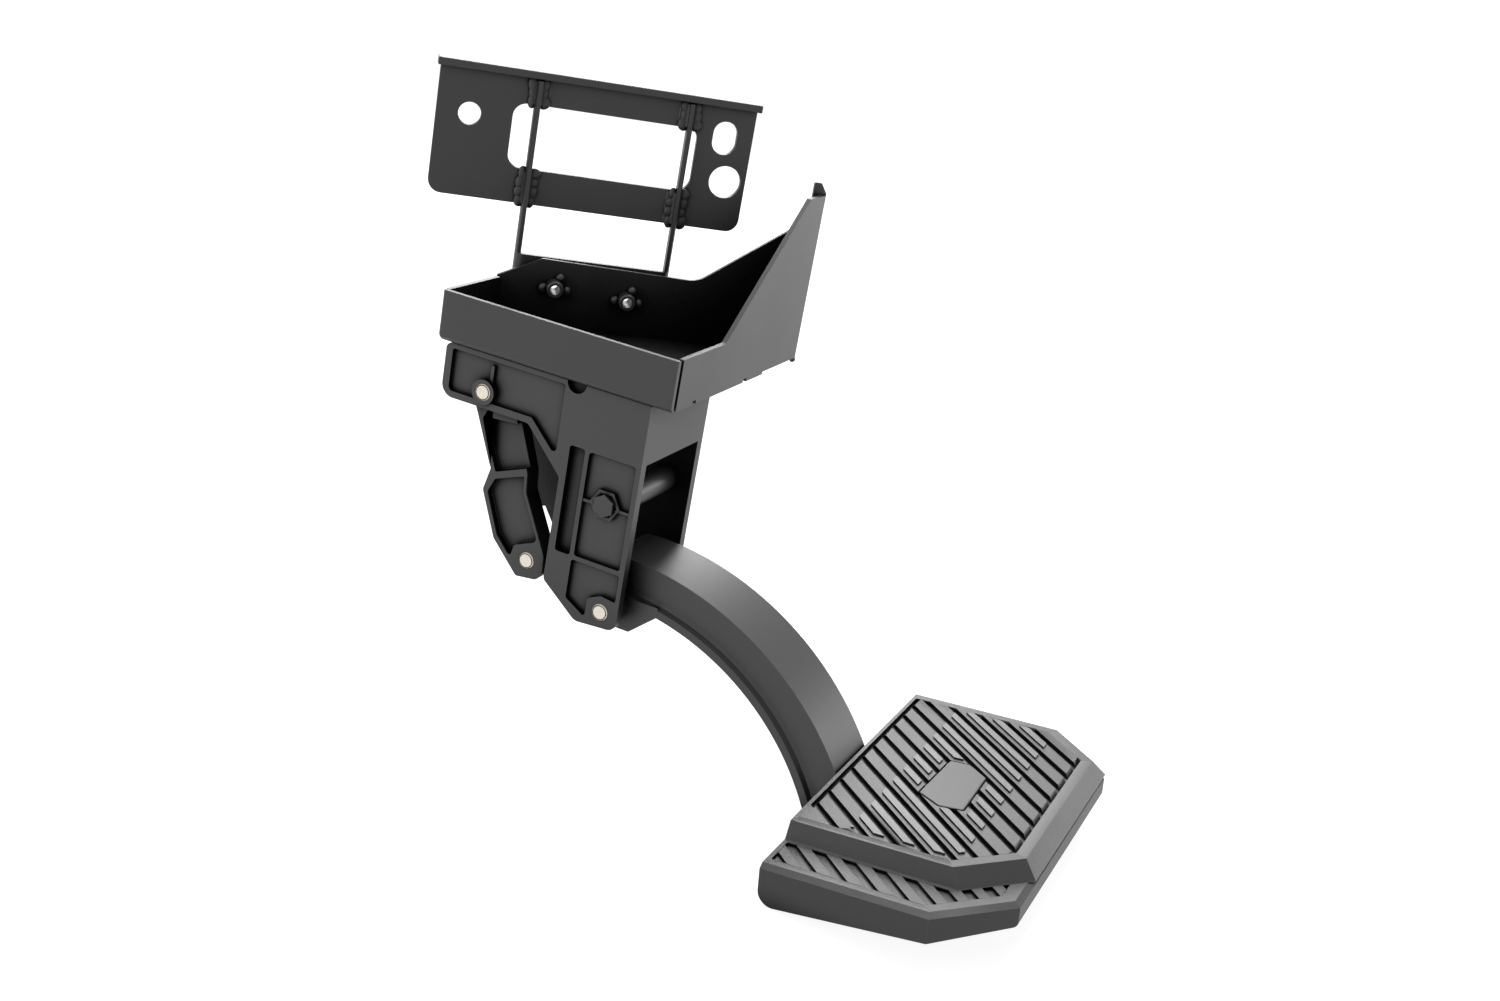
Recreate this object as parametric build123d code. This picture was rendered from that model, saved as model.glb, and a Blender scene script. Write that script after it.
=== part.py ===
from build123d import *
import math
import os

# Retractable bed step, millimetres, Z up.
# X runs outboard, Y runs away from the viewer along the hinge axes.
# The pieces are drawn from the top left corner of the tray's front wall;
# save() then puts the origin on the mounting plate's rear face.

# Tray
FRONT_W = 212.5
FRONT_H = 41.5
SHEET = 4.0
BEND = 6.0
WELD_GAP = 0.3
LEFT_FLANGE_END = 77.6
GUSSET_FRONT = 8.4
GUSSET_KINK = 80.0
GUSSET_TOP_RUN = 32.0
GUSSET_TOP = 103.5
GUSSET_STEP_RUN = 68.5
GUSSET_STEP_H = 2.2
TAB_SLOT_Y = (35.9, 127.6)
TAB_SLOT_W = 6.0
WELD_DRIP_R = 2.8

# Mount plane: local X along the plate, local Y behind the back wall's inner face
MOUNT_ANGLE = 36.0
BACK_Y = 78.5
BACK_W = FRONT_W / math.cos(math.radians(MOUNT_ANGLE))
BACK_TAB_W = 11.4
BACK_TAB_TOP = 113.4
NUT_A = (47.7, 108.7)
NUT_Z = (-3.0, -6.4)
NUT_R = 7.0
NUT_BORE_R = 4.0
NUT_LEN = 13.0
NUT_WELD_R = 3.8
NUT_WELDS = ((-9.3, -1.3), (3.9, 8.2), (10.4, -1.8))

# Riser and mounting plate
RISER_T = 4.8
RISER_DEPTH = 12.0
RISER_LEFT = 12.9
RISER_RIGHT = 143.4
RISER_BOTTOM = -34.0
RISER_WEB_TOP = 19.6
LEG_SETBACK = 3.6
PLATE_T = 6.0
PLATE_LEFT = -63.8
PLATE_RIGHT = 196.0
PLATE_BOTTOM = 58.4
PLATE_TOP = 161.3
LIP_T = 6.2
LIP_OVER = 2.4
LIP_REACH = 7.5
WINDOW = (-2.6, 149.6, 87.2, 139.8)
ROUND_HOLE = (-36.9, 125.4, 9.2)
BIG_HOLE = (178.6, 99.6, 13.4)
SLOT_HOLE = (172.4, 135.6, 10.1, 27.4)
BEAD = 5.0

# Housing
HOUSE_X0 = 7.4
HOUSE_X1 = 194.0
HOUSE_NEAR = 4.4
HOUSE_FAR = 109.4
HOUSE_WALL = 8.0
HOUSE_RIM = 3.8
HOUSE_TOP = -41.8
HOUSE_TOP_T = 9.0
STRIP_BOTTOM = -91.8
STRIP_T = 8.0
FAR_WEB_T = 5.0
HEX_POCKET_AF = 18.5
HEX_BOSS_AF = 23.0
HOUSE_BOLT_X = (78.0, 168.0)
HOUSE_BOLT_Y = (30.0, 84.0)

# Hinge axes and pins
PIN_R = 7.0
PIN_FIT = 0.03
LINK_AXIS = (47.4, -72.5)
ARM_AXIS = (178.3, -220.2)
CATCH_AXIS = (101.1, -203.7)
STOP_AXIS = (167.8, -131.3)
BUSH_WALL = 2.0
BUSH_FIT = 0.05
BUSH_LEN = 18.0
CATCH_FAR = 80.0
BOLT_R = 5.0
BOLT_AF = 17.0
BOLT_HEAD = 6.4
SLEEVE_R = 12.0

# Link
LINK_NEAR = 13.0
LINK_T = 18.0
LINK_POCKET = 6.0
LINK_END_R = 16.0

# Arm
ARM_NEAR = 26.0
ARM_W = 61.0
ROOT_RISE = 43.2
ROOT_SHIFT = 2.7
ARC_TOP_R = 251.5
BEAM_DEPTH = 38.5
ARC_SWEEP = 66.0
FLANGE_T = 6.5
WEB_INSET = 4.5
HUB_R = 12.5
HEEL_REACH = 68.0
HEEL_HALF = 12.0
HEEL_SIDE = 7.0

FOOT_T = 14.0
FOOT_LEN = 106.0
SCREW_R = 4.0
SCREW_HEAD_R = 6.5
SCREW_HEAD_T = 8.0
SCREW_X = (46.0, 92.0)
SCREW_INSET = 14.0

SPRING_WIRE_R = 1.5
SPRING_PITCH = 3.3
SPRING_LEN = 9.9
SPRING_TANG = 7.0

# Pad, in its own tilted frame: local X outboard, local Y away, local Z up from the tread rim
PAD_TILT = 6.145
PAD_ENTRY = 57.5
PAD_RISE = 4.37
PAD_OVERHANG = 91.6
PAD_LX = 167.0
PAD_LY = 270.0
PAD_CHAMFER = 41.5
TIER_H = 12.0
TIER_FLARE_Y = 8.0
TIER_FLARE_X = 10.5
LOWER_OFFSET = 50.0
PAD_THICK_IN = 45.0
PAD_THICK_OUT = 30.0
PAD_SKIN = 8.0
PAD_WALL = 8.0
TREAD_DEPTH = 5.0
LOWER_DEPTH = 3.4
RIB_PITCH = 23.4
RIB_MITRE = 4.0
RIB_FLAT = 30.0
GROOVE_START = 40.0
GROOVE_W = 5.6
GROOVE_DEPTH = 3.7
CREST_W = 6.0
CREST_H = 1.4
CREST_X0 = 42.0
CREST_X1 = 126.0
BADGE_PROUD = 0.4
PAD_NOSE_R = 12.0
SEAT_GAP = 0.3

# The beam's arc rises from the hub, and the pad sits where the arc has turned by PAD_ENTRY
ARC_X = ARM_AXIS[0] + ROOT_SHIFT
ARC_Z = ARM_AXIS[1] + ROOT_RISE - ARC_TOP_R
ARC_BOTTOM_R = ARC_TOP_R - BEAM_DEPTH
PAD_ORIGIN = (
    ARC_X + ARC_TOP_R * math.sin(math.radians(PAD_ENTRY)),
    ARM_NEAR - PAD_OVERHANG,
    ARC_Z + ARC_TOP_R * math.cos(math.radians(PAD_ENTRY)) + PAD_RISE,
)
MOUNT = Location((0, BACK_Y, 0), (0, 0, MOUNT_ANGLE))
FACE_POINT = (66.1, SHEET + RISER_DEPTH + 2 * WELD_GAP + PLATE_T, 73.0)
PAD = Location(PAD_ORIGIN, (0, -PAD_TILT, 0))


def outline(corners):
    """Closed face in the plane z = 0 from (x, y, corner radius) triples."""
    count = len(corners)
    spans = []
    for i in range(count):
        cx, cy, radius = corners[i]
        here = Vector(cx, cy)
        back = (Vector(*corners[i - 1][:2]) - here).normalized()
        ahead = (Vector(*corners[(i + 1) % count][:2]) - here).normalized()
        half = math.radians(back.get_angle(ahead)) / 2
        run = radius / math.tan(half)
        bulge = radius / math.sin(half) - radius
        middle = here + (back + ahead).normalized() * bulge
        spans.append((here + back * run, middle, here + ahead * run, radius))
    edges = []
    for i in range(count):
        start, middle, end, radius = spans[i]
        if radius:
            edges.append(ThreePointArc(start, middle, end))
        edges.append(Line(end, spans[(i + 1) % count][0]))
    return make_face(edges)


def across(face, y0, y1):
    """Prism of a face drawn in x and z, from y0 to y1."""
    side = Plane(origin=(0, y0, 0), x_dir=(1, 0, 0), z_dir=(0, -1, 0))
    return extrude(side * face, amount=y1 - y0, dir=(0, 1, 0))


def prism(corners, y0, y1):
    """Prism across y from (x, z, corner radius) triples."""
    return across(outline(corners), y0, y1)


def block(x0, x1, y0, y1, z0, z1):
    """Box from its two corners."""
    size = (x1 - x0, y1 - y0, z1 - z0)
    return Pos((x0 + x1) / 2, (y0 + y1) / 2, (z0 + z1) / 2) * Box(*size)


def rod(centre, radius, y0, y1):
    """Cylinder along y about an (x, z) centre."""
    place = Pos(centre[0], (y0 + y1) / 2, centre[1]) * Rot(90, 0, 0)
    return place * Cylinder(radius, y1 - y0)


def hexagon(centre, flats, y0, y1):
    """Hexagonal prism along y about an (x, z) centre."""
    face = Pos(*centre) * RegularPolygon(flats / 2, 6, major_radius=False)
    return across(face, y0, y1)


def save(name, shape):
    """Write a node with the row's origin on the plate's rear face."""
    origin = (MOUNT * Pos(*FACE_POINT)).position
    export_step(Pos(-origin.X, -origin.Y, -origin.Z) * shape, f"parts/{name}.step")


# Tray


def tray_pan():
    back_run = math.tan(math.radians(MOUNT_ANGLE))
    right = FRONT_W - SHEET - WELD_GAP
    back = BACK_Y - WELD_GAP / math.cos(math.radians(MOUNT_ANGLE))
    floor = outline([(0, 0, 0), (right, 0, 0), (right, back + right * back_run, 0), (0, back, 0)])
    pan = Pos(0, 0, -FRONT_H) * extrude(floor, SHEET)
    pan += block(0, FRONT_W, 0, SHEET, -FRONT_H, 0)
    pan += block(0, SHEET, 0, LEFT_FLANGE_END, -FRONT_H, 0)
    bottom_edges = pan.edges().filter_by(Axis.X).group_by(Axis.Z)[0].sort_by(Axis.Y)[:1]
    pan = fillet(bottom_edges, BEND)
    corner = pan.edges().filter_by(Axis.Z).filter_by(lambda e: e.center().X < 0.1 and e.center().Y < 0.1)
    pan = fillet(corner, SHEET)
    front = outline([(0, 0, 2), (FRONT_W, 0, 1), (FRONT_W, -FRONT_H, 1), (0, -FRONT_H, 6)])
    keep = across(front, 0, SHEET + 2)
    behind = block(0, FRONT_W, SHEET + 2, 300, -FRONT_H, 0)
    return pan & (keep + behind)


def back_wall():
    tab = BACK_W - BACK_TAB_W
    wall = prism(
        [
            (0, -FRONT_H, 3),
            (0, 0.5, 1.5),
            (35, 19, 4),
            (BACK_W - 95.6, 16.4, 26),
            (tab, 81, 4),
            (tab, BACK_TAB_TOP, 1.5),
            (BACK_W - 5.4, BACK_TAB_TOP, 1.5),
            (BACK_W, 105, 1.5),
            (BACK_W, -FRONT_H, 3),
        ],
        0,
        SHEET,
    )
    for along, height in zip(NUT_A, NUT_Z):
        wall -= rod((along, height), NUT_BORE_R, -1, SHEET + 1)
    return MOUNT * wall


def side_gusset():
    """Side wall up to the tab, with the drip of its end weld."""
    end = BACK_Y + FRONT_W * math.tan(math.radians(MOUNT_ANGLE)) + 1.1
    step = end - GUSSET_STEP_RUN
    foot = -FRONT_H + GUSSET_STEP_H
    profile = outline(
        [
            (GUSSET_FRONT, -FRONT_H, 1),
            (GUSSET_FRONT, 0, 1),
            (GUSSET_KINK, 0, 4),
            (end - GUSSET_TOP_RUN, GUSSET_TOP, 2),
            (end, GUSSET_TOP, 0),
            (end, foot, 0),
            (step, foot, 0),
            (step, -FRONT_H, 0),
        ]
    )
    side = Plane(origin=(FRONT_W, 0, 0), x_dir=(0, 1, 0), z_dir=(1, 0, 0))
    sheet = extrude(side * profile, amount=SHEET, dir=(-1, 0, 0))
    for y in TAB_SLOT_Y:
        sheet -= block(FRONT_W - 5, FRONT_W + 1, y, y + TAB_SLOT_W, -FRONT_H - 1, -FRONT_H + 3)
    sheet += Pos(FRONT_W - SHEET / 2, end - 2.0, foot - 1.5) * Sphere(WELD_DRIP_R)
    beyond = MOUNT * block(0, 400, -WELD_GAP, 60, -100, 200)
    return sheet - beyond


def weld_nut(along, height):
    """Round weld nut with its three weld blobs on the wall's inner face."""
    nut = rod((along, height), NUT_R, -NUT_LEN, -0.02)
    nut = chamfer(nut.edges().group_by(Axis.Y)[0], 1.0)
    for dx, dz in NUT_WELDS:
        nut += Pos(along + dx, -2.2, height + dz) * Sphere(NUT_WELD_R)
    nut -= rod((along, height), NUT_BORE_R, -NUT_LEN - 1, 2)
    nut -= block(along - 30, along + 30, -0.02, 10, height - 30, height + 30)
    return MOUNT * nut


# Riser and mounting plate


def riser_frame():
    front = SHEET + WELD_GAP
    back = front + RISER_DEPTH
    inner = RISER_T * 0.8
    channel = outline(
        [
            (RISER_LEFT, back, 0),
            (RISER_LEFT, front, RISER_T + inner),
            (RISER_RIGHT, front, RISER_T + inner),
            (RISER_RIGHT, back, 0),
            (RISER_RIGHT - RISER_T, back, 0),
            (RISER_RIGHT - RISER_T, front + RISER_T, inner),
            (RISER_LEFT + RISER_T, front + RISER_T, inner),
            (RISER_LEFT + RISER_T, back, 0),
        ]
    )
    top = PLATE_TOP - 1.0
    frame = Pos(0, 0, RISER_BOTTOM) * extrude(channel, top - RISER_BOTTOM)
    inside = (RISER_LEFT + RISER_T, RISER_RIGHT - RISER_T)
    frame -= block(inside[0], inside[1], front - 1, back - 3.5, RISER_WEB_TOP, top + 1)
    frame -= block(RISER_LEFT - 1, RISER_RIGHT + 1, front - 1, front + LEG_SETBACK, RISER_WEB_TOP, top + 1)
    spans = ((PLATE_BOTTOM + 1.5, WINDOW[2] - 1.5), (WINDOW[3] + 1.5, top - 1))
    for low, high in spans:
        for x, side, wide in (
            (RISER_LEFT, -1, 1.0),
            (inside[0], 1, 1.5),
            (inside[1], -1, 1.5),
            (RISER_RIGHT, 1, 1.0),
        ):
            frame += weld_bead(x, side, BEAD * wide, low, high)
    for along, height in zip(NUT_A, NUT_Z):
        frame -= rod((along, height), NUT_BORE_R, front - 1, front + RISER_T + 1)
    return MOUNT * frame


def weld_bead(x, side, width, low, high):
    """Fillet weld between a riser leg and the plate, in rounded runs."""
    back = SHEET + WELD_GAP + RISER_DEPTH
    section = make_face(
        [
            Line((x, back), (x + side * width, back)),
            ThreePointArc(
                (x + side * width, back),
                (x + side * width * 0.42, back - BEAD * 0.46),
                (x, back - BEAD),
            ),
            Line((x, back - BEAD), (x, back)),
        ]
    )
    bead = Pos(0, 0, low) * extrude(section, high - low)
    root = block(min(x, x - side * 0.6), max(x, x - side * 0.6), back - BEAD, back, low, high)
    return bead + root


def mounting_plate():
    front = SHEET + RISER_DEPTH + 2 * WELD_GAP
    back = front + PLATE_T
    plate = prism(
        [
            (PLATE_LEFT, PLATE_BOTTOM, 11),
            (PLATE_LEFT, PLATE_TOP + LIP_T, 0),
            (PLATE_RIGHT, PLATE_TOP + LIP_T, 0),
            (PLATE_RIGHT, PLATE_BOTTOM, 11),
        ],
        front,
        back,
    )
    lip = block(
        PLATE_LEFT - LIP_OVER,
        PLATE_RIGHT + LIP_OVER,
        front - LIP_REACH,
        back,
        PLATE_TOP,
        PLATE_TOP + LIP_T,
    )
    plate += fillet(lip.edges().filter_by(Axis.X).group_by(Axis.Y)[0], 1.0)
    left, right, low, high = WINDOW
    window = [(left, low, 11), (left, high, 11), (right, high, 9), (right, low, 11)]
    plate -= prism(window, front - 1, back + 1)
    for x, z, radius in (ROUND_HOLE, BIG_HOLE):
        plate -= rod((x, z), radius, front - 1, back + 1)
    x, z, half, tall = SLOT_HOLE
    slot = [
        (x - half, z - tall / 2, half - 0.1),
        (x - half, z + tall / 2, half - 0.1),
        (x + half, z + tall / 2, half - 0.1),
        (x + half, z - tall / 2, half - 0.1),
    ]
    plate -= prism(slot, front - 1, back + 1)
    return MOUNT * plate


# Housing


def side_outline():
    """Corners of the side plate: a top band, a leg outboard and the hinge lobe at its foot."""
    return [
        (HOUSE_X0, HOUSE_TOP, 5),
        (HOUSE_X1, HOUSE_TOP, 1),
        (HOUSE_X1, -232.0, 8),
        (157.0, -235.0, 9),
        (123.8, -209.5, 5),
        (124.4, -121.0, 5),
        (90.0, -86.2, 5),
        (HOUSE_X0, -86.2, 11),
    ]


def near_recesses():
    """Pockets of the ribbed face, as (x, z, radius) corner lists."""
    field = [
        (13.6, -HOUSE_RIM + HOUSE_TOP, 2),
        (118.5, -HOUSE_RIM + HOUSE_TOP, 2),
        (118.5, -106.0, 3),
        (92.5, -80.8, 3),
        (13.6, -80.8, 4),
    ]
    tall = [(130.0, -92.0, 2.5), (144.0, -92.0, 2.5), (144.0, -181.8, 2.5), (130.0, -181.8, 2.5)]
    wide = [(147.6, -92.6, 3), (189.6, -92.6, 3), (189.6, -180.8, 2.5), (147.6, -180.8, 2.5)]
    foot = [
        (146.0, -184.4, 2.5),
        (190.4, -184.4, 2.5),
        (190.4, -208.0, 1.5),
        (177.0, -206.4, 5),
        (165.4, -212.0, 3),
        (165.4, -229.0, 2),
        (146.0, -218.0, 3),
    ]
    return field, tall, wide, foot


def far_web():
    """Plain web that closes the far plate between its band and its leg."""
    inner = HOUSE_WALL - FAR_WEB_T
    return prism(
        [
            (HOUSE_X0, -70.0, 0),
            (HOUSE_X0, -86.2, 4),
            (63.4, -191.8, 4),
            (74.0, -207.0, 4),
            (128.0, -209.6, 0),
            (134.0, -150.0, 0),
            (134.0, -70.0, 0),
        ],
        inner,
        HOUSE_WALL,
    )


def side_plate(near):
    """Ribbed side plate; the far one is its mirror image, with its notch webbed over."""
    body = prism(side_outline(), 0, HOUSE_WALL)
    if not near:
        body += far_web()
    field, tall, wide, foot = near_recesses()
    body -= prism(field, -1, HOUSE_RIM)
    for pocket in (wide, foot):
        body -= prism(pocket, -1, HOUSE_RIM)
    body -= prism(tall, -1, HOUSE_WALL - 1.6)
    body += prism([(50.4, -50, 0), (53.2, -50, 0), (53.2, -66, 0), (50.4, -66, 0)], 0.6, HOUSE_RIM + 1)
    body += rod(LINK_AXIS, 10.2, -3.0, HOUSE_WALL)
    body += rod(ARM_AXIS, 12.0, 0, HOUSE_WALL)
    body += hexagon(STOP_AXIS, HEX_BOSS_AF, 0, HOUSE_WALL)
    x, z = STOP_AXIS
    body += block(147.6, 189.6, 0.8, HOUSE_RIM + 1, z - 2.6, z - 0.4)
    body -= hexagon(STOP_AXIS, HEX_POCKET_AF, -1, 3.2)
    body -= rod(STOP_AXIS, BOLT_R + 0.25, -1, HOUSE_WALL + 1)
    body -= rod((128.2, HOUSE_TOP), 8.6, -1, 5.0)
    for axis in (LINK_AXIS, ARM_AXIS):
        body -= rod(axis, PIN_R + PIN_FIT, -5, HOUSE_WALL + 1)
    if near:
        return Pos(0, HOUSE_NEAR, 0) * body
    return Pos(0, HOUSE_FAR, 0) * mirror(body, Plane.XZ)


def linkage_housing():
    inner = (HOUSE_NEAR + HOUSE_WALL, HOUSE_FAR - HOUSE_WALL)
    house = side_plate(True) + side_plate(False)
    house += block(HOUSE_X0 + 4, HOUSE_X1 - 1, inner[0] - 1, inner[1] + 1, HOUSE_TOP - HOUSE_TOP_T, HOUSE_TOP)
    house += block(HOUSE_X1 - STRIP_T, HOUSE_X1, inner[0] - 1, inner[1] + 1, STRIP_BOTTOM, HOUSE_TOP)
    for x, y in bolt_places():
        house -= Pos(x, y, HOUSE_TOP - HOUSE_TOP_T / 2) * Cylinder(BOLT_R + 0.25, HOUSE_TOP_T + 2)
    return house


def bolt_places():
    return [(x, y) for x in HOUSE_BOLT_X for y in HOUSE_BOLT_Y]


def housing_bolts():
    """Four flanged bolts, heads inside the tray, shanks through floor and casting."""
    floor = -FRONT_H + SHEET
    bolts = []
    for x, y in bolt_places():
        head = extrude(Pos(x, y, floor + 2) * RegularPolygon(BOLT_AF / 2, 6, major_radius=False), 6)
        collar = Pos(x, y, floor + 1.15) * Cylinder(BOLT_AF / 2 + 2, 1.9)
        low = HOUSE_TOP - HOUSE_TOP_T - 12
        shank = Pos(x, y, (low + floor + 2) / 2) * Cylinder(BOLT_R, floor + 2 - low)
        bolts.append(head + collar + shank)
    return Compound(bolts)


def housing_nuts():
    """Four nuts under the casting's top."""
    top = HOUSE_TOP - HOUSE_TOP_T - 0.2
    nuts = []
    for x, y in bolt_places():
        nut = extrude(Pos(x, y, top - 8) * RegularPolygon(BOLT_AF / 2, 6, major_radius=False), 8)
        nuts.append(nut - Pos(x, y, top - 4) * Cylinder(BOLT_R + 0.02, 10))
    return Compound(nuts)


def drilled_pan():
    pan = tray_pan()
    for x, y in bolt_places():
        pan -= Pos(x, y, -FRONT_H) * Cylinder(BOLT_R + 0.25, 20)
    return pan


# Cross bolt and pins


def stop_parts():
    seat = HOUSE_NEAR + 3.2
    far_face = HOUSE_FAR
    inner = (HOUSE_NEAR + HOUSE_WALL, HOUSE_FAR - HOUSE_WALL)
    bolt = hexagon(STOP_AXIS, BOLT_AF, seat - 0.2 - BOLT_HEAD, seat - 0.2)
    bolt = chamfer(bolt.edges().group_by(Axis.Y)[0], 0.8)
    bolt += rod(STOP_AXIS, BOLT_R, seat - 0.3, far_face + 16)
    sleeve = rod(STOP_AXIS, SLEEVE_R, inner[0] + 0.2, inner[1] - 0.2)
    sleeve -= rod(STOP_AXIS, BOLT_R + 0.3, inner[0], inner[1])
    face = far_face - 3.2
    washer = rod(STOP_AXIS, HEX_POCKET_AF / 2 - 0.3, face + 0.1, face + 2.1)
    washer -= rod(STOP_AXIS, BOLT_R + 0.3, face, far_face)
    nut = hexagon(STOP_AXIS, BOLT_AF, face + 2.3, face + 10.3)
    nut -= rod(STOP_AXIS, BOLT_R + 0.02, face, far_face + 20)
    return bolt, sleeve, washer, nut


def pivot_pin(axis, start, end):
    pin = rod(axis, PIN_R, start, end)
    return chamfer(pin.edges().filter_by(GeomType.CIRCLE), 0.8)


def bush(axis, y0, y1):
    """Plain bush: the pin is fixed, the bush turns on it."""
    return rod(axis, PIN_R + BUSH_FIT + BUSH_WALL, y0, y1) - rod(axis, PIN_R + BUSH_FIT, y0 - 1, y1 + 1)


# Link


def swing_link():
    back = LINK_NEAR + LINK_T
    body = prism(
        [
            (31.0, -60.0, 12),
            (63.0, -58.0, 12),
            (74.5, -88.0, 8),
            (91.3, -131.0, 6),
            (92.5, -147.0, 6),
            (116.8, -195.0, 8),
            (117.4, -211.0, 6),
            (112.0, -217.4, 6),
            (93.2, -219.9, 3),
            (68.0, -194.5, 4),
            (52.0, -156.5, 6),
            (57.0, -136.0, 5),
        ],
        LINK_NEAR,
        back,
    )
    floor = LINK_NEAR + LINK_POCKET
    upper = [(43.5, -96.0, 2), (92.0, -92.0, 0), (98.0, -123.6, 0), (61.5, -138.5, 2)]
    lower = [
        (62.5, -144.5, 3),
        (88.6, -134.2, 1),
        (89.8, -147.5, 3),
        (108.6, -185.0, 4),
        (88.0, -194.0, 4),
        (85.5, -205.5, 2),
        (70.8, -190.5, 3),
        (57.0, -157.0, 3),
    ]
    for pocket in (upper, lower):
        body -= prism(pocket, LINK_NEAR - 1, floor)
    body += rod(CATCH_AXIS, 13.0, LINK_NEAR, back)
    body += rod(LINK_AXIS, LINK_END_R, LINK_NEAR, back)
    bore = PIN_R + BUSH_FIT + BUSH_WALL + 0.02
    body -= rod(LINK_AXIS, bore, LINK_NEAR - 1, back + 1)
    body -= rod(CATCH_AXIS, PIN_R + PIN_FIT, LINK_NEAR - 1, back + 1)
    return body


# Arm


def arm_beam():
    """Curved beam: flush top, walls that lean in, flange along the lower edge."""
    mid = ARM_NEAR + ARM_W / 2
    half = ARM_W / 2
    neck = half - WEB_INSET
    low = ARC_BOTTOM_R
    edge = low + FLANGE_T
    points = [
        (half, low),
        (half, edge),
        (neck + 0.6, edge + 2.4),
        (neck, edge + 6.5),
        (half - 0.8, ARC_TOP_R - 3.0),
        (half, ARC_TOP_R),
    ]
    ring = points + [(-y, r) for y, r in reversed(points)]
    section = make_face(Polyline(*[(mid + y, ARC_Z + r) for y, r in ring], close=True))
    root = Plane(origin=(ARC_X, 0, 0), x_dir=(0, 1, 0), z_dir=(1, 0, 0))
    axis = Axis((ARC_X, 0, ARC_Z), (0, 1, 0))
    return revolve(root * section, axis, revolution_arc=ARC_SWEEP)


def step_arm():
    far = ARM_NEAR + ARM_W
    x, z = ARM_AXIS
    root = ARC_X + 2.0
    hub = prism(
        [
            (root, z + ROOT_RISE, 0),
            (x - 10.3, z + ROOT_RISE - 1.0, 10),
            (x - 28.3, z + 16.2, 14),
            (x - 21.3, z - 18.3, 16),
            (x + 17.3, z - 18.5, 3),
            (x + 39.7, z + 1.8, 0),
            (x + 39.7, z + 10.2, 0),
            (root, z + 10.2, 0),
        ],
        ARM_NEAR,
        far,
    )
    tip = x - HEEL_REACH
    rise = z + 8.5
    heel = prism(
        [
            (tip, rise + HEEL_HALF, HEEL_HALF - 0.5),
            (x, rise + HEEL_HALF + 8, 0),
            (x, rise - HEEL_HALF - 4, 0),
            (tip, rise - HEEL_HALF, HEEL_HALF - 0.5),
        ],
        ARM_NEAR + HEEL_SIDE,
        far - HEEL_SIDE,
    )
    arm = arm_beam() + hub + heel + arm_foot()
    near_boss = HOUSE_NEAR + HOUSE_WALL + WELD_GAP
    far_boss = HOUSE_FAR - HOUSE_WALL - WELD_GAP
    arm += rod(ARM_AXIS, HUB_R, near_boss, ARM_NEAR)
    arm += rod(ARM_AXIS, HUB_R, far, far_boss)
    arm -= rod(ARM_AXIS, PIN_R + BUSH_FIT + BUSH_WALL + 0.02, near_boss - 1, far_boss + 1)
    under = -PAD_SKIN - TREAD_DEPTH - SEAT_GAP
    arm -= PAD * block(-SEAT_GAP, 200, -200, 400, under, 60)
    low = PAD_ORIGIN[2] - 42.5
    arm -= block(PAD_ORIGIN[0] - 93, PAD_ORIGIN[0] + 210, -100, 300, low - 130, low)
    for px, py in screw_places():
        arm -= PAD * (Pos(px, py, under - FOOT_T / 2) * Cylinder(SCREW_R + 0.4, FOOT_T + 4))
    tang_x = HUB_R + 0.2 + SPRING_WIRE_R
    hole = Pos(tang_x, 0, -SPRING_TANG / 2) * Cylinder(SPRING_WIRE_R + 0.15, SPRING_TANG + 1)
    return arm - spring_place() * hole


def arm_foot():
    """Flat foot inside the pad, under its deck."""
    under = -PAD_SKIN - TREAD_DEPTH - SEAT_GAP
    return PAD * block(1, FOOT_LEN, PAD_OVERHANG, PAD_OVERHANG + ARM_W, under - FOOT_T, under)


def screw_places():
    """Pad screws in the pad's own frame."""
    near = PAD_OVERHANG + SCREW_INSET
    far = PAD_OVERHANG + ARM_W - SCREW_INSET
    return [(x, y) for x in SCREW_X for y in (near, far)]


def arm_spring():
    """Torsion spring on the far boss, its near end let into the hub."""
    turns = Helix(SPRING_PITCH, SPRING_LEN, HUB_R + 0.2 + SPRING_WIRE_R)
    section = Plane(turns @ 0, z_dir=turns % 0) * Circle(SPRING_WIRE_R)
    coil = sweep(section, turns)
    tang = Pos(turns @ 0) * Pos(0, 0, -SPRING_TANG / 2) * Cylinder(SPRING_WIRE_R, SPRING_TANG)
    return spring_place() * (coil + tang)


def spring_place():
    """Frame of the spring: its local Z runs away from the viewer."""
    start = ARM_NEAR + ARM_W + SPRING_WIRE_R + 0.3
    return Pos(ARM_AXIS[0], start, ARM_AXIS[1]) * Rot(-90, 0, 0)


# Pad


def pad_outline(grow_x, grow_y, chamfer_grow):
    """Upper tread rim outline, grown outwards on three sides."""
    x1 = PAD_LX + grow_x
    y0 = -grow_y
    y1 = PAD_LY + grow_y
    cut = PAD_CHAMFER + chamfer_grow
    return [(0, y0), (x1 - cut, y0), (x1, y0 + cut), (x1, y1 - cut), (x1 - cut, y1), (0, y1)]


def polygon(points):
    return make_face(Polyline(*points, close=True))


def lower_outline(shrink):
    """Lower tier outline, moved inwards by shrink on every side but the inboard one."""
    x1 = PAD_LX + TIER_FLARE_X - shrink
    y0 = -LOWER_OFFSET - 2.0 + shrink
    y1 = PAD_LY + TIER_FLARE_Y - shrink
    cut = 50.0 - 0.6 * shrink
    return [(0, y0), (x1 - cut, y0), (x1, y0 + cut), (x1, y1 - cut + 6), (x1 - cut + 6, y1), (0, y1)]


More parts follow.
